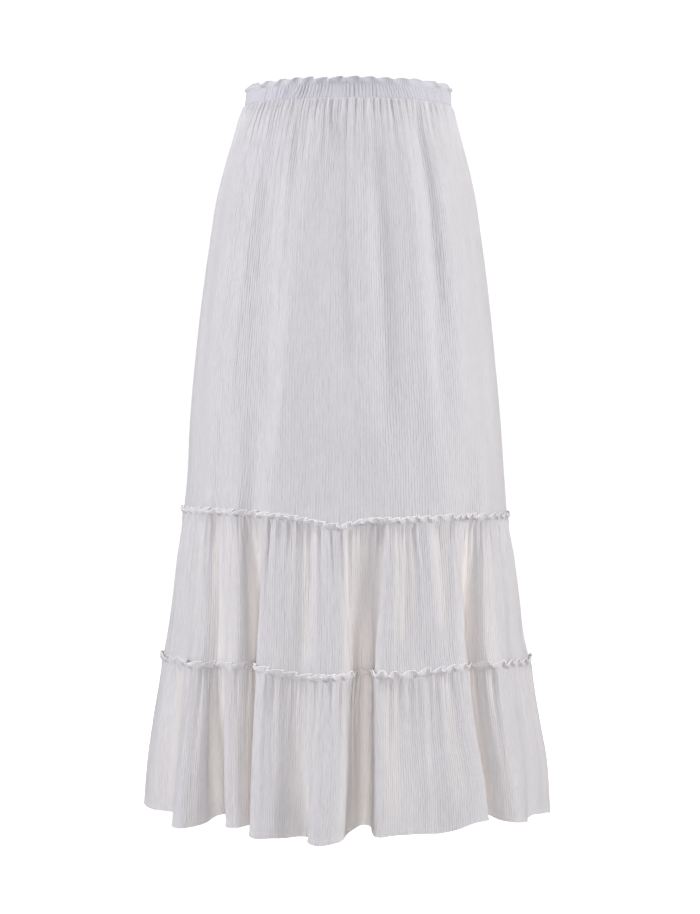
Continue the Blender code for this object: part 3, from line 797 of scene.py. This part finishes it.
def mix_colour(tree, place, mask, low, high):
    """A colour that runs from low to high with a mask. low may be a socket."""
    mix = add_node(tree, "ShaderNodeMix", place, {0: mask}, data_type="RGBA")
    start = colour_socket(mix.inputs, "A")
    if isinstance(low, bpy.types.NodeSocket):
        tree.links.new(low, start)
    else:
        start.default_value = (*low, 1.0)
    colour_socket(mix.inputs, "B").default_value = (*high, 1.0)
    return colour_socket(mix.outputs, "Result")


def new_material(name, values):
    """A material, its nodes and its Principled shader, whose inputs take the values given."""
    material = bpy.data.materials.new(name)
    material.use_nodes = True
    shader = material.node_tree.nodes["Principled BSDF"]
    shader.location = (500, 200)
    material.node_tree.nodes["Material Output"].location = (960, 100)
    set_inputs(shader, values)
    return material, material.node_tree, shader


class Look(NamedTuple):
    """What tells one cloth finish from another, with the colours of the shade and light painted on it."""

    cloth: tuple
    shade: tuple  # painted shade in the crinkles' troughs; the streaks also run a little towards it
    fold: tuple  # painted light deep in the folds and hollows; on the casing, faint painted shade in its grooves
    ridges: float  # crinkles to the metre of cloth
    relief: float  # how deep the crinkles are
    see_through: float  # share of the light that comes through


def cloth_material(name, weave, look):
    """Matt crinkled cotton that lets some light through, its troughs painted towards the trough colour as shade, and
    the piece's hollow mask painting brighter, warmer light deep in the tiers' folds and faint shade in the casing's
    grooves.
    """
    material, tree, shader = new_material(
        name, {"Roughness": 0.88, "Specular IOR Level": 0.25, "Sheen Weight": 0.12, "Sheen Roughness": 0.6}
    )
    cut = add_node(tree, "ShaderNodeUVMap", (-900, 0), uv_map="cut")
    crinkle = add_node(tree, "ShaderNodeGroup", (-680, 0), node_tree=weave)
    set_inputs(crinkle, {"Cut": cut.outputs["UV"], "Ridges per metre": look.ridges})
    streaks = map_range(tree, (-460, 260), crinkle.outputs["Streaks"], 0.35, 0.65, 0.0, 0.08)
    colour = mix_colour(tree, (-240, 260), streaks, look.cloth, look.shade)
    # Painted shade: the crinkles' troughs are greyed towards the trough colour.
    troughs = math_node(tree, (-460, 60), "MULTIPLY", crinkle.outputs["Troughs"], 0.6)
    colour = mix_colour(tree, (-40, 260), troughs, colour, look.shade)
    # Painted light deep in the tiers' folds and hollows, and faint painted shade in the casing's grooves, from the
    # piece's own hollow mask.
    deep = add_node(tree, "ShaderNodeAttribute", (-460, 520), attribute_name="fold_depth")
    colour = mix_colour(tree, (160, 260), deep.outputs["Fac"], colour, look.fold)
    bump = {"Strength": 1.0, "Distance": look.relief, "Height": crinkle.outputs["Height"]}
    normal = add_node(tree, "ShaderNodeBump", (240, -160), bump).outputs["Normal"]
    set_inputs(shader, {"Base Color": colour, "Normal": normal})
    through = add_node(tree, "ShaderNodeBsdfTranslucent", (500, -140), {"Color": colour, "Normal": normal})
    both = {"Fac": look.see_through, 1: shader.outputs["BSDF"], 2: through.outputs["BSDF"]}
    cloth = add_node(tree, "ShaderNodeMixShader", (760, 100), both).outputs["Shader"]
    set_inputs(tree.nodes["Material Output"], {"Surface": cloth})
    return material


def thread_material(name, colour):
    """Spun polyester thread: a little brighter and smoother than the cloth, with its twist as fine slanting lines."""
    material, tree, shader = new_material(name, {"Roughness": 0.6, "Specular IOR Level": 0.35})
    place = add_node(tree, "ShaderNodeTexCoord", (-900, 0))
    twist = add_node(tree, "ShaderNodeTexWave", (-640, 0), wave_type="BANDS", bands_direction="DIAGONAL")
    set_inputs(twist, {"Vector": place.outputs["Object"], "Scale": 900.0, "Distortion": 1.5})
    darker = tuple(channel * 0.95 for channel in colour)
    shade = mix_colour(tree, (-380, 120), twist.outputs["Fac"], colour, darker)
    bump = add_node(tree, "ShaderNodeBump", (-380, -160), {"Distance": 0.0001, "Height": twist.outputs["Fac"]})
    set_inputs(shader, {"Base Color": shade, "Normal": bump.outputs["Normal"]})
    return material


def shared_material(name, make, *args):
    """A material that several pieces share, made once."""
    return bpy.data.materials.get(name) or make(name, *args)


def shared_weave():
    """The crinkle weave's node group, made once."""
    return bpy.data.node_groups.get("crinkle_weave") or crinkle_group()


def tier_cloth(scene):
    """The single cloth of the tiers and frills."""
    colours = scene.skirt_colours
    look = Look(tuple(colours.cloth), tuple(colours.shade), tuple(colours.fold), 320.0, 0.0006, 0.52)
    return shared_material("tier_cotton", cloth_material, shared_weave(), look)


def casing_cloth(scene):
    """The same cloth doubled over the elastic, and its heading: denser, so less light comes through. Its colour is
    painted darker and bluer than the tiers' as shade, its grooves take faint painted shade, and its troughs take the
    tiers' trough colour, which is lighter than it.
    """
    colours = scene.skirt_colours
    look = Look(tuple(colours.casing), tuple(colours.shade), tuple(colours.painted_groove_shade), 380.0, 0.0004, 0.30)
    return shared_material("casing_cotton", cloth_material, shared_weave(), look)


def sewing_thread(scene):
    """The thread of the hem's stitches and of the frills' overlocked edges."""
    return shared_material("sewing_thread", thread_material, tuple(scene.skirt_colours.thread))


def casing_thread(scene):
    """The thread of the casing's stitches, which sinks into its cloth and takes its colour, painted shade and all."""
    return shared_material("casing_thread", thread_material, tuple(scene.skirt_colours.casing))


# Settings


class SkirtSizes(bpy.types.PropertyGroup):
    """Sizes of the cloth work."""

    cloth_wall: FloatProperty(
        name="Cloth", description="Thickness of the crinkle cloth", default=0.0005, min=0.0002, unit="LENGTH"
    )
    casing_wall: FloatProperty(
        name="Casing", description="Thickness of the casing over its elastic", default=0.0016, unit="LENGTH"
    )
    crinkle_depth: FloatProperty(
        name="Crinkles", description="Depth of the cloth's standing crinkles", default=0.00012, unit="LENGTH"
    )
    seam_frill: FloatProperty(
        name="Seam frills", description="Height of the headings above the tier seams", default=0.0085, unit="LENGTH"
    )
    frill_out: FloatProperty(
        name="Frill waves", description="How far the seam frills' waves stand out", default=0.0040, unit="LENGTH"
    )
    waist_frill_out: FloatProperty(
        name="Waist frill waves", description="How far the waist frill's waves stand out", default=0.0030, unit="LENGTH"
    )
    rib_height: FloatProperty(
        name="Casing ribs", description="Height of the ribs that the elastic gathers", default=0.0015, unit="LENGTH"
    )
    seam_lip: FloatProperty(
        name="Seam lip",
        description="How far a tier's sewn edge stands off the tier above",
        default=0.0014,
        unit="LENGTH",
    )
    hem_depth: FloatProperty(
        name="Hem", description="Depth of the narrow turned hem", default=0.0048, unit="LENGTH"
    )
    ribs: IntProperty(name="Ribs", description="Ribs across half of the casing", default=72, min=4)
    waist_waves: IntProperty(name="Waist waves", description="Waves across half of the waist frill", default=15, min=4)
    upper_waves: IntProperty(name="Upper waves", description="Waves across half of the upper frill", default=38, min=4)
    lower_waves: IntProperty(name="Lower waves", description="Waves across half of the lower frill", default=40, min=4)


class SkirtColours(bpy.types.PropertyGroup):
    """Colours of the cloth and thread, and of the shade and light painted on the cloth."""

    cloth: FloatVectorProperty(
        name="Cloth", description="The cloth in the light", subtype="COLOR", default=(0.842, 0.833, 0.850)
    )
    # Painted shade in the crinkles' troughs; the streaks also run a little towards it.
    shade: FloatVectorProperty(
        name="Troughs", description="The cloth in its troughs", subtype="COLOR", default=(0.70, 0.685, 0.715)
    )
    # Painted light: brighter and warmer than the cloth, put deep in the folds and in the hollows of the gathers and
    # frills.
    fold: FloatVectorProperty(
        name="Folds", description="The cloth deep in its folds", subtype="COLOR", default=(0.95, 0.922, 0.898)
    )
    # Painted shade: the tiers' cloth made darker and bluer where it is doubled over the elastic; the waist frill and
    # the casing's thread take it too.
    casing: FloatVectorProperty(
        name="Casing", description="The cloth doubled over the elastic", subtype="COLOR", default=(0.607, 0.610, 0.658)
    )
    # Faint painted shade in the grooves between the casing's ribs.
    painted_groove_shade: FloatVectorProperty(
        name="Grooves", description="The grooves between the casing's ribs", subtype="COLOR", default=(0.61, 0.60, 0.66)
    )
    thread: FloatVectorProperty(
        name="Thread", description="The sewing thread", subtype="COLOR", default=(0.895, 0.892, 0.908)
    )


class StageSettings(bpy.types.PropertyGroup):
    """Floor, light and camera."""

    floor_drop: FloatProperty(
        name="Floor", description="How far the floor lies below the waist", default=1.06, unit="LENGTH"
    )
    side_power: FloatProperty(
        name="Side lights", description="Power of each side softbox", default=61.0, min=0.0, unit="POWER"
    )
    front_power: FloatProperty(
        name="Front light", description="Power of the front softbox", default=54.8, min=0.0, unit="POWER"
    )
    back_power: FloatProperty(
        name="Back light", description="Power of the softbox behind the skirt", default=11.0, min=0.0, unit="POWER"
    )
    surround: FloatProperty(name="Surround", description="Brightness of the room's light", default=0.19, min=0.0)
    lens: FloatProperty(name="Lens", description="Focal length of the camera, in millimetres", default=82.7)


class Half(NamedTuple):
    """The front or the back of the skirt."""

    name: str
    bearings: tuple
    first: int  # its first fold
    count: int  # its folds
    seed: int

    def sweep(self, share):
        """The bearing at a share of the way along it."""
        return self.bearings[0] + share * (self.bearings[1] - self.bearings[0])


HALVES = (
    Half("front", (-90.0, 90.0), 0, len(FRONT_FOLDS), 100),
    Half("back", (90.0, 270.0), len(FRONT_FOLDS), len(BACK_FOLDS), 900),
)
BODY = "root"


def place_piece(piece, slot, *solids):
    """Ties a finished piece to the body and hides the solids that it stands for. slot is not used."""
    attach(piece, BODY)
    if solids:
        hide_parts(*solids)


# Pieces


class SKIRT_OT_top_tier(bpy.types.Operator):
    """Lays the long top tier, gathered into the casing and creased down its length"""

    bl_idname = "skirt.top_tier"
    bl_label = "Top Tier"

    def execute(self, context):
        sizes = context.scene.skirt_sizes
        cloth = tier_cloth(context.scene)
        for half in HALVES:
            share, climb = grid_shares(*TOP_TIER_GRID)
            bearing = half.sweep(share)
            low = UPPER_SEAM + seam_rise("upper", bearing)
            z = CASING_BOTTOM + (low - CASING_BOTTOM) * (1.0 - climb) ** TOP_ROWS_CROWD
            x, y, out_x, out_y = outline(bearing, z)
            near_seam = 1.0 - blend(*SEAM_SETTLES, z - UPPER_SEAM)
            out = creases(bearing, z) * (1.0 - near_seam) - seam_dip(bearing) * near_seam
            points = np.stack([x + out_x * out, y + out_y * out, z], axis=-1)
            cloth_u = share * CUTS["top_tier"][0] + 0.0 * z
            below = CASING_BOTTOM - z
            height = gathers(half.seed, WAIST_GATHERS, cloth_u, below, WAIST_PLUMP)
            height += crinkles(half.seed + CRINKLE_SEED, cloth_u, below, sizes.crinkle_depth)
            height *= blend(-0.0005, 0.0016, below) * freed(z - low)
            height *= side_fade(share, 0.012)
            points += outward(points) * height[..., None]
            piece = lay_cloth(f"top_tier_{half.name}_cloth", points, cloth_u, z, sizes.cloth_wall, cloth)
            place_piece(piece, "crinkle_cloth", f"top_tier_{half.name}")
        return {"FINISHED"}


class Tier(NamedTuple):
    """One of the two lower tiers, between two stages."""

    start: float
    end: float
    grid: tuple
    seed: int
    relief: float  # how strong its gathers are


TIERS = {
    "middle_tier": Tier(0.0, 1.0, (620, 28), 200, 1.0),
    "bottom_tier": Tier(1.0, 2.0, (780, 34), 400, 0.8),
}


class SKIRT_OT_lower_tiers(bpy.types.Operator):
    """Lays the middle tier and the bottom tier with its narrow hem, their folds running on from one to the other"""

    bl_idname = "skirt.lower_tiers"
    bl_label = "Middle and Bottom Tiers"

    def tier(self, context, half, name):
        """Half of a tier. Returns its piece, its points and their distances above its foot along the cloth."""
        sizes = context.scene.skirt_sizes
        start, end, grid, seed, relief = TIERS[name]
        seed += half.seed
        width, drop = CUTS[name]
        along = even_along(half, grid[0], end)
        share, climb = grid_shares(*grid)
        stage = end + (start - end) * climb
        x, y, z, fold = folded_point(along[None, :], stage)
        points = np.stack([x, y, z], axis=-1)
        cloth_u = share * width + 0.0 * stage
        below = (stage - start) * drop + 0.0 * share
        above = drop - below
        height = gathers(seed, SEAM_GATHERS, cloth_u, below, SEAM_PLUMP)
        height += crinkles(seed + CRINKLE_SEED, cloth_u, below, sizes.crinkle_depth)
        height *= relief
        for crease in TIER_CREASES:
            if crease.top < start or crease.foot > end or not half.first <= crease.along_top <= half.first + half.count:
                continue
            down = np.clip((stage - crease.top) / (crease.foot - crease.top), 0.0, 1.0)
            middle = crease.along_top + (crease.along_foot - crease.along_top) * down
            away = (np.interp(middle, along, share[0]) - share) * width
            inside = blend(crease.top - TIER_CREASE_GROWS, crease.top + TIER_CREASE_GROWS, stage)
            if crease.foot < TIERS["bottom_tier"].end:
                before, after = TIER_CREASE_FADES
                inside = inside * (1.0 - blend(crease.foot - before, crease.foot + after, stage))
            height += crease.height * inside * np.exp(-((away / crease.half_width) ** 2))
        # Painted light: the hollows between the gathers are brightened and warmed.
        fold = np.clip(fold + HOLLOW_PAINTED_LIGHT * np.clip(-height / HOLLOW_DEPTH, 0.0, 1.0), 0.0, 1.0)
        height = height * blend(-0.0008, 0.0016, below) + sizes.seam_lip * np.exp(-below / LIP_FADES)
        if name == "middle_tier":
            height *= freed(above)
        else:
            turned = 1.0 - blend(sizes.hem_depth - HEM_STEP_OVER, sizes.hem_depth + HEM_STEP_OVER, above)
            puckers = ripple(seed + PUCKER_SEED, cloth_u, below, 0.0035, 0.030)
            at_stitches = np.exp(-(((above - sizes.hem_depth) / STITCH_REACH) ** 2))
            height = height + turned * HEM_STEP + puckers * at_stitches * PUCKER_HEIGHT - at_stitches * STITCH_PULL
        height *= side_fade(share, 0.010)
        points += outward(points) * height[..., None]
        if name == "bottom_tier":
            flutter = ripple(seed + FLUTTER_SEED, cloth_u, below, 0.022, 0.060) * np.exp(-above / FLUTTER_FADES)
            points[..., 2] += FLUTTER_HEIGHT * (flutter * side_fade(share, 0.01))
        cloth = tier_cloth(context.scene)
        piece = lay_cloth(f"{name}_{half.name}_cloth", points, cloth_u, -below, sizes.cloth_wall, cloth, fold)
        place_piece(piece, "crinkle_cloth", f"{name}_{half.name}")
        return piece, points, above

    def execute(self, context):
        thread = sewing_thread(context.scene)
        for half in HALVES:
            piece, _, _ = self.tier(context, half, "middle_tier")
            piece, points, above = self.tier(context, half, "bottom_tier")
            row = int(np.abs(above[:, 0] - context.scene.skirt_sizes.hem_depth).argmin())
            stitches = sewing(f"hem_stitches_{half.name}", points[row], outward(points)[row], HEM_STITCH, thread)
            place_piece(stitches, "crinkle_cloth")
        return {"FINISHED"}


class SKIRT_OT_casing(bpy.types.Operator):
    """Gathers the casing over its elastic, with a row of stitches along each edge"""

    bl_idname = "skirt.casing"
    bl_label = "Elastic Casing"

    def execute(self, context):
        sizes = context.scene.skirt_sizes
        cloth = casing_cloth(context.scene)
        thread = casing_thread(context.scene)
        tall = CASING_TOP - CASING_BOTTOM
        for half in HALVES:
            share, climb = grid_shares(sizes.ribs * STEPS_TO_A_RIB, CASING_ROWS)
            z = CASING_BOTTOM + climb * tall + 0.0 * share
            x, y, out_x, out_y = outline(half.sweep(share) + 0.0 * climb, z)
            points = np.stack([x, y, z], axis=-1)

            def chance(number, across, down, pitch, length):
                return ripple(half.seed + number, across * HALF_WAIST, down, pitch, length)

            # The gathered cloth leans in towards the middle as it rises, each group of ribs by its own amount.
            lean = -0.42 * np.tanh((share - 0.5) * 8.0) + 0.25 * chance(5, share, climb * 0.0, 0.018, 1.0)
            shift = lean * (climb - 0.5) * tall / HALF_WAIST
            uneven = 0.32 * chance(6, share, climb * 0.016, 0.009, 0.04)
            # Towards the sides the ribs are broader.
            spread = 0.5 * share + 0.25 * (1.0 - np.cos(math.pi * share))
            ribs = np.abs(np.cos(math.pi * (sizes.ribs * (spread - shift) + uneven)))
            depth = 0.7 + 0.5 * chance(7, share - shift, climb * 0.0, 0.005, 1.0)
            puff = 0.45 + 0.55 * np.sin(math.pi * climb) ** 0.6
            height = sizes.rib_height * depth * puff * (ribs - 0.8)
            stitched = sum(np.exp(-(((climb - level) / 0.06) ** 2)) for level in CASING_STITCH_ROWS.values())
            height = (height - CASING_STITCH_PULL * stitched) * side_fade(share, 0.01)
            points += outward(points) * height[..., None]
            cloth_u = share * CUTS["casing"][0] + 0.0 * climb
            # Faint painted shade: a mask of the grooves between the ribs, which take the groove colour.
            grooves = (1.0 - ribs) ** 0.8 * (0.55 + 0.45 * puff) * np.clip(0.4 + 0.7 * depth, 0.0, 1.0)
            piece = lay_cloth(f"casing_{half.name}_cloth", points, cloth_u, z, sizes.casing_wall, cloth, grooves)
            place_piece(piece, "casing_cloth", f"casing_{half.name}")
            rows_of_stitches = []
            for edge, level in CASING_STITCH_ROWS.items():
                row = int(np.abs(climb[:, 0] - level).argmin())
                name = f"casing_{edge}_stitches_{half.name}"
                rows_of_stitches.append(sewing(name, points[row], outward(points)[row], CASING_STITCH, thread))
                place_piece(rows_of_stitches[-1], "casing_cloth")
        return {"FINISHED"}


class Frill(NamedTuple):
    """How a frilled heading's waves run."""

    seed: int
    swing: float  # how far a wave leans over the next one, in waves
    at_middle: float  # how much closer its waves are at the middle than at the sides
    notch: float  # share of its height by which the front of a wave dips
    larger: float  # its size, where 1 is the upper frill's


FRILLS = {
    "waist_frill": Frill(20, 0.16, 0.55, 0.32, 1.0),
    "upper_frill": Frill(30, 0.40, 0.35, 0.55, 1.0),
    "lower_frill": Frill(40, 0.40, 0.35, 0.55, 1.12),
}


class SKIRT_OT_frills(bpy.types.Operator):
    """Sets the frilled headings above the casing and above the two tier seams, each with its overlocked edge"""

    bl_idname = "skirt.frills"
    bl_label = "Frilled Headings"

    def frill(self, context, name, half, base, out, waves, tall, reach, cloth, deep=None):
        """A gathered heading from a line of points and outward directions, its waves leaning over one another. tall
        and reach may vary along it, and deep gives the painted light in the folds at each point of a tier's seam."""
        kind = FRILLS[name]
        share, climb = grid_shares(waves * STEPS_TO_A_WAVE, FRILL_ROWS)
        run = run_along(base)
        length = run[-1]
        pitch = length / waves
        tall, reach = (np.interp(share, np.linspace(0.0, 1.0, len(each)), each) for each in (tall, reach))

        def chance(number, cells):
            return ripple(half.seed + kind.seed + number, share * length, climb * 0.0, pitch * cells, 1.0)

        # The waves are longest at the sides.
        stretched = share + kind.at_middle * (0.5 - 0.5 * np.cos(math.pi * share) - share)
        turns = 2.0 * math.pi * waves * stretched + 2.4 * chance(0, 2.2) * side_fade(share, 0.04)
        bold = (0.75 + 0.35 * chance(1, 1.3)) * (0.35 + 0.65 * side_fade(share, 0.05))
        front = 0.5 - 0.5 * np.cos(turns)
        # Each wave starts low at the front and climbs as it runs in behind the next one, mostly to the same side.
        to_side = np.tanh(5.0 * (chance(2, 3.5) + 0.5))
        at = share * length + kind.swing * pitch * to_side * np.cos(turns) * climb * bold * side_fade(share, 0.06)
        at = np.clip(at, 0.0, length)
        place = read_along(at, run, base)
        away = read_along(at, run, out)
        away /= np.linalg.norm(away, axis=-1, keepdims=True)
        rolled = blend(EDGE_ROLLS_FROM, 1.0, climb)
        spread = reach * bold * front * np.sin(0.80 * math.pi * climb) + FRILL_LEAN * climb + EDGE_ROLL * rolled
        rise = tall * climb * (1.0 - kind.notch * bold * front**2 + 0.10 * chance(3, 0.9)) - EDGE_ROLL * rolled
        place = place + away * spread[..., None]
        place[..., 2] += rise
        cloth_u = share * length * FRILL_FULLNESS + 0.0 * climb
        # Painted light: the hollows behind the waves are brightened and warmed, and a tier's frill takes the painted
        # light of its folds.
        fold = 0.0 * rise if deep is None else np.maximum(0.12 + 0.25 * (1.0 - front), np.interp(at, run, deep))
        wall = context.scene.skirt_sizes.cloth_wall
        piece = lay_cloth(f"{name}_{half.name}_cloth", place, cloth_u, climb * tall, wall, cloth, fold)
        place_piece(piece, "crinkle_cloth", f"{name}_{half.name}")
        thread = sewing_thread(context.scene)
        edging = tube(f"{name}_{half.name}_overlock", place[-1], OVERLOCK_RADIUS, thread)
        place_piece(edging, "crinkle_cloth")

    def waist(self, context, half):
        """The heading above the casing, which is lower at the sides."""
        sizes = context.scene.skirt_sizes
        bearing = half.sweep(np.linspace(0.0, 1.0, WAIST_LINE_POINTS))
        z = np.full_like(bearing, CASING_TOP)
        x, y, out_x, out_y = outline(bearing, z)
        out = np.stack([out_x, out_y, np.zeros_like(out_x)], axis=-1)
        line = np.stack([x, y, z], axis=-1) - out * WAIST_FRILL_SINK
        from_side = 90.0 - np.abs((bearing + 90.0) % 180.0 - 90.0)
        at_side = np.exp(-((from_side / WAIST_SIDE_DEGREES) ** 2))
        tall = (HEADING_TOP - CASING_TOP) * (1.0 - WAIST_SIDE_LOWER * at_side)
        reach = sizes.waist_frill_out * (1.0 - WAIST_SIDE_FLATTER * at_side)
        # The waist frill takes the casing's cloth, painted darker and bluer as shade.
        self.frill(context, "waist_frill", half, line, out, sizes.waist_waves, tall, reach, casing_cloth(context.scene))

    def seam(self, context, half, name, stage, waves):
        """The heading on a tier's seam."""
        sizes = context.scene.skirt_sizes
        x, y, z, deep = folded_point(even_along(half, SEAM_LINE_STEPS, stage), stage)
        step = np.gradient(np.stack([x, y], axis=-1), axis=0)
        size = np.hypot(step[:, 0], step[:, 1])
        out = np.stack([step[:, 1] / size, -step[:, 0] / size, np.zeros_like(x)], axis=-1)
        line = np.stack([x, y, z], axis=-1) + out * (sizes.seam_lip - SEAM_FRILL_TUCK)
        tall = np.full(len(x), sizes.seam_frill * FRILLS[name].larger)
        reach = np.full(len(x), sizes.frill_out * FRILLS[name].larger)
        self.frill(context, name, half, line, out, waves, tall, reach, tier_cloth(context.scene), deep)

    def execute(self, context):
        sizes = context.scene.skirt_sizes
        for half in HALVES:
            self.waist(context, half)
            self.seam(context, half, "upper_frill", 0.0, sizes.upper_waves)
            self.seam(context, half, "lower_frill", 1.0, sizes.lower_waves)
        return {"FINISHED"}


class Softbox(NamedTuple):
    """One softbox of the studio."""

    name: str
    place: tuple
    target: tuple
    size: tuple
    colour: tuple
    power: str  # the setting that holds its power


SOFTBOXES = rows_of(
    Softbox,
    ("left", (-2.1, -0.62, 0.75), (0.0, 0.0, 0.2), (0.75, 1.8), (0.985, 0.985, 1.0), "side_power"),
    ("right", (2.1, -0.62, 0.75), (0.0, 0.0, 0.2), (0.75, 1.8), (1.0, 0.985, 0.975), "side_power"),
    ("front", (0.08, -3.4, -0.35), (0.0, 0.0, 0.0), (0.9, 1.2), (0.97, 0.97, 1.0), "front_power"),
    ("back", (-0.5, 2.6, -0.2), (0.0, 0.0, -0.7), (1.2, 1.2), (1.0, 1.0, 1.0), "back_power"),
)
FLOOR_HALF_SIZE = 9.0
FLOOR_COLOUR = (0.51, 0.502, 0.494, 1.0)
ROOM_COLOUR = (0.97, 0.97, 1.0, 1.0)
WHITE = (1.0, 1.0, 1.0, 1.0)
BACKDROP_GLOW = 1.05


class SKIRT_OT_stage(bpy.types.Operator):
    """Sets the pale floor, the soft studio light and the camera"""

    bl_idname = "skirt.stage"
    bl_label = "Stage"

    def execute(self, context):
        scene = context.scene
        stage = scene.skirt_stage
        ground = bmesh.new()
        bmesh.ops.create_grid(ground, x_segments=8, y_segments=8, size=FLOOR_HALF_SIZE)
        bmesh.ops.translate(ground, verts=ground.verts, vec=(0.0, 0.0, -stage.floor_drop))
        mesh = bpy.data.meshes.new("floor")
        ground.to_mesh(mesh)
        ground.free()
        paper, tree, shader = new_material(
            "studio_paper", {"Base Color": FLOOR_COLOUR, "Roughness": 0.9, "Emission Color": WHITE}
        )
        ray = add_node(tree, "ShaderNodeLightPath", (-600, 0))
        set_inputs(shader, {"Emission Strength": ray.outputs["Is Camera Ray"]})
        floor = add_object("floor", mesh, paper)

        world = bpy.data.worlds.new("studio")
        world.use_nodes = True
        scene.world = world
        tree = world.node_tree
        room = tree.nodes["Background"]
        set_inputs(room, {"Color": ROOM_COLOUR, "Strength": stage.surround})
        seen = add_node(tree, "ShaderNodeBackground", (0, -200), {"Color": WHITE, "Strength": BACKDROP_GLOW})
        ray = add_node(tree, "ShaderNodeLightPath", (-300, 200))
        both = {"Fac": ray.outputs["Is Camera Ray"], 1: room.outputs["Background"], 2: seen.outputs["Background"]}
        light = add_node(tree, "ShaderNodeMixShader", (260, 0), both).outputs["Shader"]
        set_inputs(tree.nodes["World Output"], {"Surface": light})

        for softbox in SOFTBOXES:
            light = bpy.data.lights.new(f"softbox_{softbox.name}", "AREA")
            light.shape = "RECTANGLE"
            light.size, light.size_y = softbox.size
            light.energy = getattr(stage, softbox.power)
            light.color = softbox.colour
            holder = add_object(light.name, light)
            holder.location = softbox.place
            aim = Vector(softbox.target) - Vector(softbox.place)
            holder.rotation_euler = aim.to_track_quat("-Z", "Y").to_euler()
            holder.visible_camera = False

        eye = bpy.data.cameras.new("camera")
        eye.lens = stage.lens
        eye.sensor_width = 36.0
        holder = add_object("camera", eye)
        holder.location = (0.0, -CAMERA_AWAY, CAMERA_HEIGHT)
        holder.rotation_euler = (math.pi / 2.0 - CAMERA_TILT, 0.0, -CAMERA_TURN)
        scene.camera = holder
        scene.view_settings.view_transform = "Standard"
        return {"FINISHED"}


class SKIRT_PT_panel(bpy.types.Panel):
    """Sizes and steps of the tiered ruffle skirt"""

    bl_idname = "SKIRT_PT_panel"
    bl_label = "Tiered Ruffle Skirt"
    bl_space_type = "VIEW_3D"
    bl_region_type = "UI"
    bl_category = "Skirt"

    def draw(self, context):
        layout = self.layout
        scene = context.scene
        for title, settings in (
            ("Sizes", scene.skirt_sizes),
            ("Colours", scene.skirt_colours),
            ("Stage", scene.skirt_stage),
        ):
            box = layout.box()
            box.label(text=title)
            for key in settings.bl_rna.properties.keys():
                if key not in {"rna_type", "name"}:
                    box.prop(settings, key)
        steps = layout.column(align=True)
        for step in STEPS:
            steps.operator(step.bl_idname)


STEPS = (
    SKIRT_OT_stage,
    SKIRT_OT_top_tier,
    SKIRT_OT_lower_tiers,
    SKIRT_OT_casing,
    SKIRT_OT_frills,
)
CLASSES = (SkirtSizes, SkirtColours, StageSettings, *STEPS, SKIRT_PT_panel)
SETTINGS = {"skirt_sizes": SkirtSizes, "skirt_colours": SkirtColours, "skirt_stage": StageSettings}


def register():
    for each in CLASSES:
        bpy.utils.register_class(each)
    for key, kind in SETTINGS.items():
        setattr(bpy.types.Scene, key, PointerProperty(type=kind))


def unregister():
    for key in SETTINGS:
        delattr(bpy.types.Scene, key)
    for each in reversed(CLASSES):
        bpy.utils.unregister_class(each)


def main():
    register()
    bpy.ops.skirt.stage()
    bpy.ops.skirt.top_tier()
    bpy.ops.skirt.lower_tiers()
    bpy.ops.skirt.casing()
    bpy.ops.skirt.frills()


if __name__ == "__main__":
    main()
